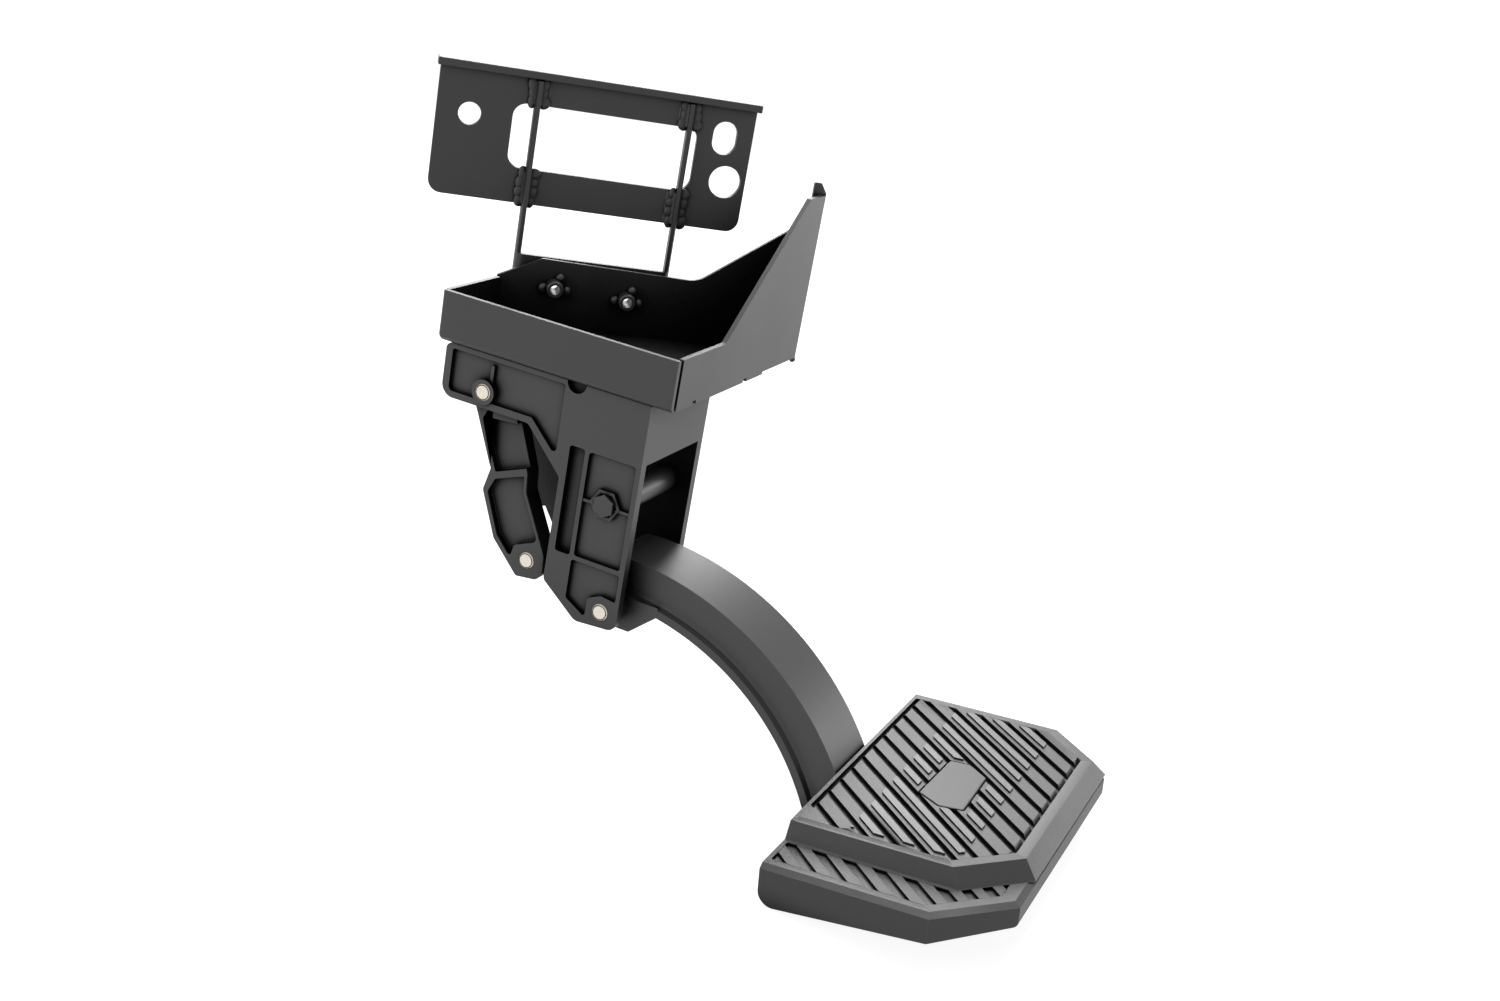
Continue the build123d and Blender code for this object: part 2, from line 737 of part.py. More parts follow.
def pad_base():
    upper = loft(
        [
            polygon(pad_outline(0, 0, 0)),
            Pos(0, 0, -TIER_H) * polygon(pad_outline(TIER_FLARE_X, TIER_FLARE_Y, 1.0)),
        ]
    )
    bevel = 3.0
    lower = loft(
        [
            Pos(0, 0, -TIER_H) * polygon(lower_outline(bevel * 1.6)),
            Pos(0, 0, -TIER_H - bevel) * polygon(lower_outline(0)),
        ]
    )
    skirt = Pos(0, 0, -60) * extrude(polygon(lower_outline(0)), 60 - TIER_H - bevel)
    base = (upper + lower + skirt) & pad_side_view()
    wall = PAD_WALL
    deck = -PAD_SKIN - TREAD_DEPTH
    cavity = [(x if x else wall, y) for x, y in lower_outline(wall)]
    hollow = Pos(0, 0, -80) * extrude(polygon(cavity), 80 + deck - TIER_H)
    base -= hollow
    inner = [
        (wall, wall - 2, 2),
        (PAD_LX - 26, wall - 2, 4),
        (PAD_LX, wall + 24, 4),
        (PAD_LX, PAD_LY - 32, 4),
        (PAD_LX - 26, PAD_LY - 6, 4),
        (wall, PAD_LY - 6, 2),
    ]
    base -= Pos(0, 0, -80) * extrude(outline(inner), 80 + deck)
    base -= Pos(0, 0, -TREAD_DEPTH) * extrude(upper_recess(0), 20)
    base -= Pos(0, 0, -TIER_H - LOWER_DEPTH) * extrude(lower_recess(0), LOWER_DEPTH + 0.1)
    base -= block(-5, wall + 1, PAD_OVERHANG - 2.0, PAD_OVERHANG + ARM_W + 2.0, -80, deck)
    for x, y in screw_places():
        base -= Pos(x, y, deck + 3.0) * Cylinder(SCREW_R + 0.02, 8.0)
    return PAD * base


def pad_side_view():
    """Prism of the pad's side view: a rounded inboard toe and an underside that rises outboard."""
    end = PAD_LX + TIER_FLARE_X
    toe = (0, -PAD_THICK_IN, PAD_NOSE_R)
    return prism([(0, 20, 0), (end, 20, 0), (end, -PAD_THICK_OUT, 3), toe], -120, 400)


def upper_recess(inset):
    rim_x = 8.5 + inset
    rim_y = 8.0 + inset
    x1 = PAD_LX - rim_x
    cut = PAD_CHAMFER - 4.0
    y1 = PAD_LY - rim_y
    return outline(
        [
            (3.0 + inset, rim_y, 1.5),
            (x1 - cut, rim_y, 3),
            (x1, rim_y + cut, 3),
            (x1, y1 - cut, 3),
            (x1 - cut, y1, 3),
            (3.0 + inset, y1, 1.5),
        ]
    )


def lower_recess(inset):
    i = inset
    return outline(
        [
            (3.5 + i, -40.5 + i, 1.5),
            (120.7 - 0.5 * i, -40.5 + i, 3),
            (163.0 - i, 1.8 + i, 1.5),
            (163.0 - i, 21.8 - 2.4 * i, 1.5),
            (129.7 - 0.5 * i, -11.5 - i, 3),
            (3.5 + i, -11.5 - i, 1.5),
        ]
    )


def diagonals(width, shift, count):
    """Parallel diagonal strips on the tread's grid, each square to the same direction."""
    starts = [GROOVE_START + shift + k * RIB_PITCH for k in range(count)]
    return Sketch() + [Pos(0, start) * Rot(0, 0, -45) * Rectangle(900, width) for start in starts]


def badge_face(grow):
    """Plain plaque in the tread."""
    g = grow
    return outline(
        [
            (65.5 - g, 96.0 - 0.6 * g, 3),
            (68.2 - g, 162.0 + g, 3),
            (84.7 + 0.3 * g, 163.4 + g, 3),
            (102.5 + g, 148.3 + 0.5 * g, 3),
            (104.4 + g, 86.4 - g, 3),
            (85.6 - 0.4 * g, 83.0 - g, 3),
        ]
    )


def tread_upper():
    """Ribbed tread: ribs flush with the rim, mitred at both long sides, each with a raised crest."""
    gap = 0.15
    sheet = Pos(0, 0, 0.05 - TREAD_DEPTH) * extrude(upper_recess(gap), TREAD_DEPTH - GROOVE_DEPTH)
    solid = upper_recess(gap) - diagonals(GROOVE_W, 0, 17)
    bars = Pos(0, 0, -GROOVE_DEPTH - 0.5) * extrude(solid - badge_face(1.2), GROOVE_DEPTH + 0.5)
    left = 3.0 + gap
    right = PAD_LX - 8.5 - gap
    clip = loft(
        [
            Pos(0, 0, -GROOVE_DEPTH - 0.5) * Pos((left + right) / 2, 135) * Rectangle(right - left, 300),
            Pos((left + right) / 2, 135) * Rectangle(right - left - 2 * RIB_MITRE, 300),
        ]
    )
    corner = polygon([(left, 0), (left, RIB_FLAT), (left + RIB_FLAT - 8, 8), (left + RIB_FLAT, 0)])
    flat = Pos(0, 0, -GROOVE_DEPTH - 0.5) * extrude(corner & upper_recess(gap), GROOVE_DEPTH + 0.5)
    band = Pos((CREST_X0 + CREST_X1) / 2, 135) * Rectangle(CREST_X1 - CREST_X0, 300)
    line = diagonals(CREST_W, -RIB_PITCH / 2 + 2.0, 18)
    crest = (band & line & upper_recess(5.0)) - badge_face(5.0)
    crests = Pos(0, 0, -0.5) * extrude(crest, CREST_H + 0.5)
    return PAD * (sheet + (bars & clip) + flat + crests)


def badge_plate():
    plate = Pos(0, 0, 0.1 - GROOVE_DEPTH) * extrude(badge_face(0), GROOVE_DEPTH - 0.1 + BADGE_PROUD)
    return PAD * chamfer(plate.edges().group_by(Axis.Z)[-1], 0.6)


def tread_lower():
    """Lower tread, flush with its rim, with the same diagonal grooves."""
    plate = extrude(lower_recess(0.15), LOWER_DEPTH - 0.05)
    grooves = diagonals(GROOVE_W, -3 * RIB_PITCH, 11) & lower_recess(3.5)
    plate -= Pos(0, 0, LOWER_DEPTH - 2.4) * extrude(grooves, 5)
    return PAD * Pos(0, 0, -TIER_H - LOWER_DEPTH + 0.05) * plate


def pad_screws():
    """Four cap screws, from under the foot into the deck."""
    under = -PAD_SKIN - TREAD_DEPTH - SEAT_GAP - FOOT_T
    top = -TREAD_DEPTH - 1.5
    screws = []
    for x, y in screw_places():
        head = Pos(x, y, under - 0.2 - SCREW_HEAD_T / 2) * Cylinder(SCREW_HEAD_R, SCREW_HEAD_T)
        shank = Pos(x, y, (under + top) / 2 - 0.5) * Cylinder(SCREW_R, top - under + 1)
        screws.append(PAD * (head + shank))
    return Compound(screws)


def main():
    os.makedirs("parts", exist_ok=True)
    bolt, sleeve, washer, nut = stop_parts()
    inner_near = HOUSE_NEAR + HOUSE_WALL
    inner_far = HOUSE_FAR - HOUSE_WALL
    save("tray_pan", drilled_pan())
    save("back_wall", back_wall())
    save("side_gusset", side_gusset())
    save("weld_nut_left", weld_nut(NUT_A[0], NUT_Z[0]))
    save("weld_nut_right", weld_nut(NUT_A[1], NUT_Z[1]))
    save("riser_frame", riser_frame())
    save("mounting_plate", mounting_plate())
    save("linkage_housing", linkage_housing())
    save("housing_bolts", housing_bolts())
    save("housing_nuts", housing_nuts())
    save("stop_bolt", bolt)
    save("stop_sleeve", sleeve)
    save("stop_washer", washer)
    save("stop_nut", nut)
    save("link_pivot_pin", pivot_pin(LINK_AXIS, HOUSE_NEAR - 3.6, HOUSE_FAR + 1.0))
    save("arm_pivot_pin", pivot_pin(ARM_AXIS, HOUSE_NEAR - 0.8, HOUSE_FAR + 1.0))
    save("link_bush", bush(LINK_AXIS, LINK_NEAR - 0.2, LINK_NEAR + LINK_T + 0.2))
    save("arm_bush_near", bush(ARM_AXIS, inner_near + WELD_GAP, inner_near + WELD_GAP + BUSH_LEN))
    save("arm_bush_far", bush(ARM_AXIS, inner_far - WELD_GAP - BUSH_LEN, inner_far - WELD_GAP))
    save("swing_link", swing_link())
    save("catch_pin", pivot_pin(CATCH_AXIS, LINK_NEAR - 0.6, CATCH_FAR))
    save("step_arm", step_arm())
    save("arm_spring", arm_spring())
    save("pad_base", pad_base())
    save("tread_upper", tread_upper())
    save("tread_lower", tread_lower())
    save("badge_plate", badge_plate())
    save("pad_screws", pad_screws())


main()
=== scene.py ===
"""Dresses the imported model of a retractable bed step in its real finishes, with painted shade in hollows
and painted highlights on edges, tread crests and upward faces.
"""

import logging
import math
import random
from dataclasses import dataclass, field
from enum import Enum

import bmesh
import bpy
from mathutils import Matrix, Vector


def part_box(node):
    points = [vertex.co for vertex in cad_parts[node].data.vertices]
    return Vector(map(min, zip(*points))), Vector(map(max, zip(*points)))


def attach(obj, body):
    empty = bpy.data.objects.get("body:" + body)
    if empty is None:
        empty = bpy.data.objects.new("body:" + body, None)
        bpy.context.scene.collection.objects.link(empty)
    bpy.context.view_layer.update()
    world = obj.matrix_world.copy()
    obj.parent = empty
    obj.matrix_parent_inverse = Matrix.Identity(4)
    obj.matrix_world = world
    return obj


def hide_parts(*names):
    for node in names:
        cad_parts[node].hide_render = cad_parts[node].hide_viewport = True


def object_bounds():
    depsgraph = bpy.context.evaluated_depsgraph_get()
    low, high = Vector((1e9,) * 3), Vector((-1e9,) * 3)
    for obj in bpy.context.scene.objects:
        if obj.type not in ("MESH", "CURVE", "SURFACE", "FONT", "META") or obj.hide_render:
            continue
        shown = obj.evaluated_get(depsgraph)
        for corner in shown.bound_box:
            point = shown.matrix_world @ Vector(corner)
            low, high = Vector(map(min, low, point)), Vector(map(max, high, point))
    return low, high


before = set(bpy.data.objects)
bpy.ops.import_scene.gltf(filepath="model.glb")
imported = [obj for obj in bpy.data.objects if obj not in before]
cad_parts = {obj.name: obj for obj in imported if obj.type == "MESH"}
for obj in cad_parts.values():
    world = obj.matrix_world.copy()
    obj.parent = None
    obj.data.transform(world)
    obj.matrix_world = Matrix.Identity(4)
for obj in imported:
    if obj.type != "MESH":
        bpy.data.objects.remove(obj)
CAD_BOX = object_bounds()

logging.basicConfig(level=logging.INFO, format="%(message)s")
LOG = logging.getLogger("bed_step")

MM = 0.001
Colour = tuple[float, float, float]
Point = tuple[float, float, float]
Outline = tuple[tuple[float, float], ...]
BLACK = (0.0, 0.0, 0.0, 1.0)
WHITE = (1.0, 1.0, 1.0, 1.0)

# Limits that the mesh steps share
MERGE_DISTANCE = 1e-6
SEAM_ANGLE = math.radians(0.6)
CORNER_ANGLE = math.radians(38.0)
WALL_LEAN = 0.2
WALL_SLACK = 0.4 * MM
LEVEL_SHARE = 0.9
AREA_WEIGHT = 100


class Slot(Enum):
    """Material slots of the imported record."""

    SHEET = "sheet_black"
    CAST = "cast_black"
    TREAD = "tread_grey"
    FASTENER = "fastener_black"
    PIN = "bright_pin"
    BUSH = "bush"
    SPRING = "spring_wire"


class Body(Enum):
    """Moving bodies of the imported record."""

    BRACKET = "bracket"
    LINK = "link"
    ARM = "arm"


class Soften(Enum):
    """Which sharp edges of a node are broken."""

    ALL = "every sharp edge"
    INSIDE = "all but the edges of the outer walls, which butt against a rim"
    OUTSIDE = "all but the edges of walls that look inwards, which hold an insert"


# Shader node groups


class NodeSheet:
    """Small helper that adds and links shader nodes in one tree."""

    def __init__(self, tree: bpy.types.NodeTree) -> None:
        """Wrap a node tree.

        Args:
            tree: The tree that new nodes go into.
        """
        self.tree = tree

    def add(self, kind: str, **values: object) -> bpy.types.Node:
        """Add a node and set its plain properties.

        Args:
            kind: The node's Blender type.
            values: Properties of the node, by name.

        Returns:
            The new node.
        """
        node = self.tree.nodes.new(kind)
        for name, value in values.items():
            setattr(node, name, value)
        return node

    def link(self, source: bpy.types.NodeSocket, target: bpy.types.NodeSocket) -> None:
        """Join two sockets."""
        self.tree.links.new(source, target)

    def feed(self, value: object, target: bpy.types.NodeSocket) -> None:
        """Give an input its value.

        Args:
            value: A socket to link from, or a plain value.
            target: The input.
        """
        if isinstance(value, bpy.types.NodeSocket):
            self.link(value, target)
        else:
            target.default_value = value

    def math(self, operation: str, *values: object) -> bpy.types.NodeSocket:
        """Add a Math node.

        Args:
            operation: The node's operation.
            values: Its inputs in order, each a socket or a number.

        Returns:
            The node's output socket.
        """
        node = self.add("ShaderNodeMath", operation=operation)
        for value, target in zip(values, node.inputs):
            self.feed(value, target)
        return node.outputs[0]

    def ramp(self, value: bpy.types.NodeSocket, start: object, end: object) -> bpy.types.NodeSocket:
        """Share of the way from a start to an end, held between 0 and 1.

        Args:
            value: The socket to measure.
            start: Where the share is 0.
            end: Where the share is 1.

        Returns:
            The share's socket.
        """
        span = self.math("SUBTRACT", end, start)
        share = self.math("DIVIDE", self.math("SUBTRACT", value, start), span)
        return self.math("MINIMUM", self.math("MAXIMUM", share, 0.0), 1.0)

    def noise(self, scale: object, detail: float) -> bpy.types.NodeSocket:
        """Add a noise texture on the object's own coordinates.

        Args:
            scale: Its scale, a socket or a number.
            detail: Its number of octaves.

        Returns:
            The socket of its grey value.
        """
        node = self.add("ShaderNodeTexNoise")
        node.inputs["Detail"].default_value = detail
        self.link(self.add("ShaderNodeTexCoord").outputs["Object"], node.inputs["Vector"])
        self.feed(scale, node.inputs["Scale"])
        return node.outputs["Fac"]

    def mix(self, share: bpy.types.NodeSocket, first: object, second: object) -> bpy.types.NodeSocket:
        """Blend two colours.

        Args:
            share: Share of the second colour.
            first: A socket, or a colour with alpha.
            second: A socket, or a colour with alpha.

        Returns:
            The blended colour's socket.
        """
        node = self.add("ShaderNodeMix", data_type="RGBA")
        self.link(share, node.inputs["Factor"])
        self.feed(first, node.inputs["A"])
        self.feed(second, node.inputs["B"])
        return node.outputs["Result"]

    def shaded(self, colour: object, shift: bpy.types.NodeSocket) -> bpy.types.NodeSocket:
        """Lighten or darken a colour.

        Args:
            colour: A socket, or a colour with alpha.
            shift: What is added to its full value of 1.

        Returns:
            The new colour's socket.
        """
        node = self.add("ShaderNodeHueSaturation")
        self.feed(colour, node.inputs["Color"])
        self.link(self.math("ADD", 1.0, shift), node.inputs["Value"])
        return node.outputs["Color"]

    def bump(self, height: bpy.types.NodeSocket, strength: float, distance: float) -> bpy.types.NodeSocket:
        """Turn a height into a normal.

        Args:
            height: The height's socket.
            strength: Strength of the relief.
            distance: Height of the relief in metres.

        Returns:
            The normal's socket.
        """
        node = self.add("ShaderNodeBump")
        node.inputs["Strength"].default_value = strength
        node.inputs["Distance"].default_value = distance
        self.link(height, node.inputs["Height"])
        return node.outputs["Normal"]

    def backdrop_rays(self) -> bpy.types.NodeSocket:
        """Mask of the rays that see the backdrop, straight from the camera or by metal or glass.

        Returns:
            The mask's socket.
        """
        path = self.add("ShaderNodeLightPath").outputs
        seen = self.math("MAXIMUM", path["Is Camera Ray"], path["Is Glossy Ray"])
        return self.math("MAXIMUM", seen, path["Is Transmission Ray"])


def new_group(name: str, inputs: dict[str, float], output: str) -> tuple:
    """Start a shader node group with float sockets.

    Args:
        name: The group's name.
        inputs: Input names with their default values.
        output: Name of its one output.

    Returns:
        The group, its node helper, its given values by name and the socket that it puts out.
    """
    group = bpy.data.node_groups.new(name, "ShaderNodeTree")
    for label, value in inputs.items():
        made = group.interface.new_socket(label, in_out="INPUT", socket_type="NodeSocketFloat")
        made.default_value = value
    group.interface.new_socket(output, in_out="OUTPUT", socket_type="NodeSocketFloat")
    nodes = NodeSheet(group)
    given = nodes.add("NodeGroupInput")
    return group, nodes, given.outputs, nodes.add("NodeGroupOutput").inputs[output]


def build_grain_group() -> bpy.types.NodeTree:
    """Height of a coat: fine grain on top of a slow ripple.

    Returns:
        The node group.
    """
    group, nodes, given, height = new_group(
        "coat_grain", {"Grain": 1600.0, "Ripple": 220.0, "Balance": 0.4}, "Height"
    )
    fine = nodes.noise(given["Grain"], detail=3.0)
    slow = nodes.math("MULTIPLY", nodes.noise(given["Ripple"], detail=1.0), given["Balance"])
    nodes.link(nodes.math("ADD", fine, slow), height)
    return group


def build_mottle_group() -> bpy.types.NodeTree:
    """Slow uneven patches, from minus one to one times the amount.

    Returns:
        The node group.
    """
    group, nodes, given, shift = new_group("coat_mottle", {"Scale": 14.0, "Amount": 0.1}, "Shift")
    patches = nodes.noise(given["Scale"], detail=4.0)
    centred = nodes.math("MULTIPLY", nodes.math("SUBTRACT", patches, 0.5), 2.0)
    nodes.link(nodes.math("MULTIPLY", centred, given["Amount"]), shift)
    return group


def build_edge_group() -> bpy.types.NodeTree:
    """Mask of the outer edges, where a coat is thin and rubbed, and where a painted highlight stands for
    light caught on the rounded edge.

    Returns:
        The node group.
    """
    group, nodes, given, mask = new_group(
        "edge_wear_and_highlight", {"Width": 0.0009, "Patches": 60.0, "Gain": 3.2}, "Mask"
    )
    rounded = nodes.add("ShaderNodeBevel", samples=4)
    nodes.link(given["Width"], rounded.inputs["Radius"])
    facing = nodes.add("ShaderNodeVectorMath", operation="DOT_PRODUCT")
    nodes.link(rounded.outputs["Normal"], facing.inputs[0])
    nodes.link(nodes.add("ShaderNodeNewGeometry").outputs["Normal"], facing.inputs[1])
    turned = nodes.math("SUBTRACT", 1.0, facing.outputs["Value"])
    strong = nodes.math("MULTIPLY", turned, given["Gain"])
    worn_and_highlit = nodes.math("MULTIPLY", strong, nodes.noise(given["Patches"], detail=2.0))
    nodes.link(nodes.math("MINIMUM", worn_and_highlit, 1.0), mask)
    return group


def build_top_light_group() -> bpy.types.NodeTree:
    """Mask of the faces that look up, for a lighter colour there: painted light from above.

    Returns:
        The node group.
    """
    group, nodes, given, mask = new_group("painted_top_light", {"Low": 0.75, "High": 0.92}, "Mask")
    split = nodes.add("ShaderNodeSeparateXYZ")
    nodes.link(nodes.add("ShaderNodeTexCoord").outputs["Normal"], split.inputs["Vector"])
    nodes.link(nodes.ramp(split.outputs["Z"], given["Low"], given["High"]), mask)
    return group


def build_painted_shade_group() -> bpy.types.NodeTree:
    """Mask of painted shade in deep corners and pockets, where little light gets in.

    Returns:
        The node group.
    """
    group, nodes, given, mask = new_group(
        "painted_cavity_shade", {"Reach": 0.03, "Open": 0.8, "Closed": 0.35}, "Mask"
    )
    around = nodes.add("ShaderNodeAmbientOcclusion", samples=6)
    nodes.link(given["Reach"], around.inputs["Distance"])
    nodes.link(nodes.ramp(around.outputs["AO"], given["Open"], given["Closed"]), mask)
    return group


class Groups:
    """The shared node groups, each built once."""

    def __init__(self) -> None:
        """Build every group."""
        self.grain = build_grain_group()
        self.mottle = build_mottle_group()
        self.edge = build_edge_group()
        self.painted_cavity_shade = build_painted_shade_group()
        self.top = build_top_light_group()

    @staticmethod
    def place(nodes: NodeSheet, group: bpy.types.NodeTree, **values: float) -> bpy.types.NodeSocket:
        """Put a group into a material with its own input values.

        Args:
            nodes: Helper of the material's tree.
            group: The group to place.
            values: Input values by socket name.

        Returns:
            What the group puts out.
        """
        node = nodes.add("ShaderNodeGroup", node_tree=group)
        for label, value in values.items():
            node.inputs[label].default_value = value
        return node.outputs[0]


# Finishes


def new_material(name: str) -> tuple[bpy.types.Material, NodeSheet, bpy.types.Node]:
    """Start a material.

    Args:
        name: Its name.

    Returns:
        The material, its node helper and its Principled BSDF.
    """
    material = bpy.data.materials.new(name)
    material.use_nodes = True
    return material, NodeSheet(material.node_tree), material.node_tree.nodes["Principled BSDF"]


@dataclass(frozen=True)
class CoatFinish:
    """A dark coat on metal or a moulded plastic, with grain, patches and rubbed edges, whose lighter
    colour is also a painted highlight.

    Hollow places, where the open share of the sky falls from lit to closed, go black as painted shade;
    metallic rises with it so that reflections there dim too.
    """

    name: str
    colour: Colour
    edge_wear_and_highlight_colour: Colour
    roughness: float
    specular: float = 0.5
    grain: float = 1600.0
    ripple: float = 220.0
    balance: float = 0.4
    relief: float = 0.5
    depth: float = 0.00006
    patchy: float = 0.12
    patch_scale: float = 16.0
    uneven_gloss: float = 0.35
    edge_width: float = 0.0009
    edge_patches: float = 70.0
    reach: float = 0.03
    lit: float = 0.8
    closed: float = 0.35
    painted_shade_strength: float = 0.9
    painted_top_light_colour: Colour | None = None

    def build(self, groups: Groups) -> bpy.types.Material:
        """Make the material.

        Args:
            groups: The shared node groups.

        Returns:
            The material.
        """
        material, nodes, shader = new_material(self.name)
        shader.inputs["Specular IOR Level"].default_value = self.specular
        shift = groups.place(nodes, groups.mottle, Scale=self.patch_scale, Amount=self.patchy)
        worn_and_highlit = groups.place(nodes, groups.edge, Width=self.edge_width, Patches=self.edge_patches)
        painted_cavity_shade = groups.place(
            nodes, groups.painted_cavity_shade, Reach=self.reach, Open=self.lit, Closed=self.closed
        )
        # Painted shade: in hollows the colour goes to black and metallic rises, so the reflections there
        # darken as well.
        painted_shade_share = nodes.math("MULTIPLY", painted_cavity_shade, self.painted_shade_strength)
        colour: object = (*self.colour, 1.0)
        # Painted top light: faces that look up take the lighter top colour.
        if self.painted_top_light_colour:
            colour = nodes.mix(groups.place(nodes, groups.top), colour, (*self.painted_top_light_colour, 1.0))
        # Edges take the lighter edge colour: partly a rubbed coat, partly a painted highlight.
        colour = nodes.mix(worn_and_highlit, nodes.shaded(colour, shift), (*self.edge_wear_and_highlight_colour, 1.0))
        nodes.link(nodes.mix(painted_shade_share, colour, BLACK), shader.inputs["Base Color"])
        nodes.link(painted_shade_share, shader.inputs["Metallic"])
        uneven = nodes.math("MULTIPLY", shift, self.uneven_gloss)
        nodes.link(nodes.math("ADD", self.roughness, uneven), shader.inputs["Roughness"])
        grain = groups.place(
            nodes, groups.grain, Grain=self.grain, Ripple=self.ripple, Balance=self.balance
        )
        nodes.link(nodes.bump(grain, self.relief, self.depth), shader.inputs["Normal"])
        return material


@dataclass(frozen=True)
class TurnedFinish:
    """Bright turned metal, with fine rings about an axis along Y and a stained groove."""

    name: str
    colour: Colour
    centre: tuple[float, float]
    roughness: float = 0.28
    ring_pitch: float = 0.00035
    ring_height: float = 0.5
    ring_gloss: float = 0.05
    relief: float = 0.35
    depth: float = 0.00003
    patchy: float = 0.5
    patch_scale: float = 300.0
    patch_tint: float = 0.2
    groove: float = 0.0
    groove_width: float = 0.0004
    stain: Colour = (0.03, 0.022, 0.016)

    def build(self, groups: Groups) -> bpy.types.Material:
        """Make the material.

        Args:
            groups: The shared node groups.

        Returns:
            The material.
        """
        material, nodes, shader = new_material(self.name)
        shader.inputs["Metallic"].default_value = 1.0
        place = nodes.add("ShaderNodeMapping")
        place.inputs["Location"].default_value = (-self.centre[0], 0.0, -self.centre[1])
        place.inputs["Scale"].default_value = (1.0, 0.0, 1.0)
        nodes.link(nodes.add("ShaderNodeTexCoord").outputs["Object"], place.inputs["Vector"])
        length = nodes.add("ShaderNodeVectorMath", operation="LENGTH")
        nodes.link(place.outputs["Vector"], length.inputs[0])
        reach = length.outputs["Value"]
        rings = nodes.math("SINE", nodes.math("MULTIPLY", reach, 2.0 * math.pi / self.ring_pitch))
        shift = groups.place(nodes, groups.mottle, Scale=self.patch_scale, Amount=self.patchy)
        height = nodes.math("ADD", nodes.math("MULTIPLY", rings, self.ring_height), shift)
        nodes.link(nodes.bump(height, self.relief, self.depth), shader.inputs["Normal"])
        tint = nodes.shaded((*self.colour, 1.0), nodes.math("MULTIPLY", shift, self.patch_tint))
        dirt = nodes.math("COMPARE", reach, self.groove, self.groove_width)
        nodes.link(nodes.mix(dirt, tint, (*self.stain, 1.0)), shader.inputs["Base Color"])
        gloss = nodes.math("MULTIPLY", rings, self.ring_gloss)
        nodes.link(nodes.math("ADD", self.roughness, gloss), shader.inputs["Roughness"])
        return material


# Each coat's lighter edge colour is partly rubbed coat, partly a painted highlight.
BLACKENED_STEEL = CoatFinish("blackened_steel", (0.03, 0.03, 0.031), (0.12, 0.12, 0.12), 0.42)
POWDER_COAT = CoatFinish(
    "satin_powder_coat",
    (0.014, 0.014, 0.0143),
    (0.06, 0.06, 0.06),
    0.46,
    specular=0.55,
    reach=0.15,
)
CAST_COAT = CoatFinish(
    "cast_black_coat",
    (0.018, 0.018, 0.0183),
    (0.07, 0.07, 0.07),
    0.48,
    specular=0.6,
    grain=1300.0,
    depth=0.00008,
    reach=0.16,
    lit=0.88,
    closed=0.6,
)
ARM_COAT = CoatFinish(
    "arm_black_coat",
    (0.018, 0.018, 0.0183),
    (0.07, 0.07, 0.07),
    0.46,
    specular=0.6,
    grain=1300.0,
)
PAD_COAT = CoatFinish(
    "pad_charcoal_coat",
    (0.016, 0.016, 0.0163),
    (0.12, 0.12, 0.12),
    0.48,
    grain=950.0,
    depth=0.0003,
    # Lighter colour on faces that look up: painted light from above.
    painted_top_light_colour=(0.04, 0.04, 0.0405),
)
# Crests of the treads: lighter partly from wear, partly as a painted highlight.
WORN_AND_HIGHLIT_CREST = CoatFinish(
    "pad_crest_worn_and_highlit",
    (0.085, 0.085, 0.085),
    (0.16, 0.16, 0.16),
    0.42,
    grain=950.0,
    depth=0.00025,
)
BUSH_PLASTIC = CoatFinish("bush_plastic", (0.03, 0.03, 0.03), (0.05, 0.05, 0.05), 0.45)
SPRING_STEEL = TurnedFinish("spring_steel", (0.3, 0.3, 0.31), (0.0, 0.0), 0.35)


# Meshes


def dress(obj: bpy.types.Object, material: bpy.types.Material) -> None:
    """Give an object one material in every slot.

    Args:
        obj: The object.
        material: Its material.
    """
    if not obj.material_slots:
        obj.data.materials.append(material)
    for holder in obj.material_slots:
        holder.material = material


def mesh_object(name: str, mesh: bmesh.types.BMesh) -> bpy.types.Object:
    """Turn a bmesh into an object at the origin.

    Args:
        name: Name of the object.
        mesh: The finished bmesh, which is freed.

    Returns:
        The linked object.
    """
    data = bpy.data.meshes.new(name)
    mesh.to_mesh(data)
    mesh.free()
    obj = bpy.data.objects.new(name, data)
    bpy.context.scene.collection.objects.link(obj)
    return obj


@dataclass(frozen=True)
class PadFrame:
    """The step pad's own frame: its rim plane, tilted about the hinge direction."""

    origin: Point = (0.35291, -0.20124, -0.362)
    tilt: float = math.radians(6.145)

    @property
    def normal(self) -> Vector:
        """Upward normal of the rim plane."""
        return Vector((-math.sin(self.tilt), 0.0, math.cos(self.tilt)))

    def height(self, point: Vector) -> float:
        """Height of a point over the rim plane, in metres."""
        return (point - Vector(self.origin)).dot(self.normal)

    def matrix(self) -> Matrix:
        """Transform from the pad's frame into the shared frame."""
        return Matrix.Translation(self.origin) @ Matrix.Rotation(-self.tilt, 4, "Y")


def outer_walls(mesh: bmesh.types.BMesh, upward: Vector) -> set[int]:
    """Upright faces that no vertex of the mesh lies in front of.

    Args:
        mesh: The merged mesh.
        upward: Direction that the walls are parallel to.

    Returns:
        Indices of the outer faces.
    """
    mesh.faces.index_update()
    found = set()
    reach: dict[tuple[float, float, float], float] = {}
    for face in mesh.faces:
        if abs(face.normal.dot(upward)) > WALL_LEAN:
            continue
        key = tuple(round(c, 2) for c in face.normal)
        if key not in reach:
            reach[key] = max(v.co.dot(face.normal) for v in mesh.verts)
        if face.calc_center_median().dot(face.normal) > reach[key] - WALL_SLACK:
            found.add(face.index)
    return found


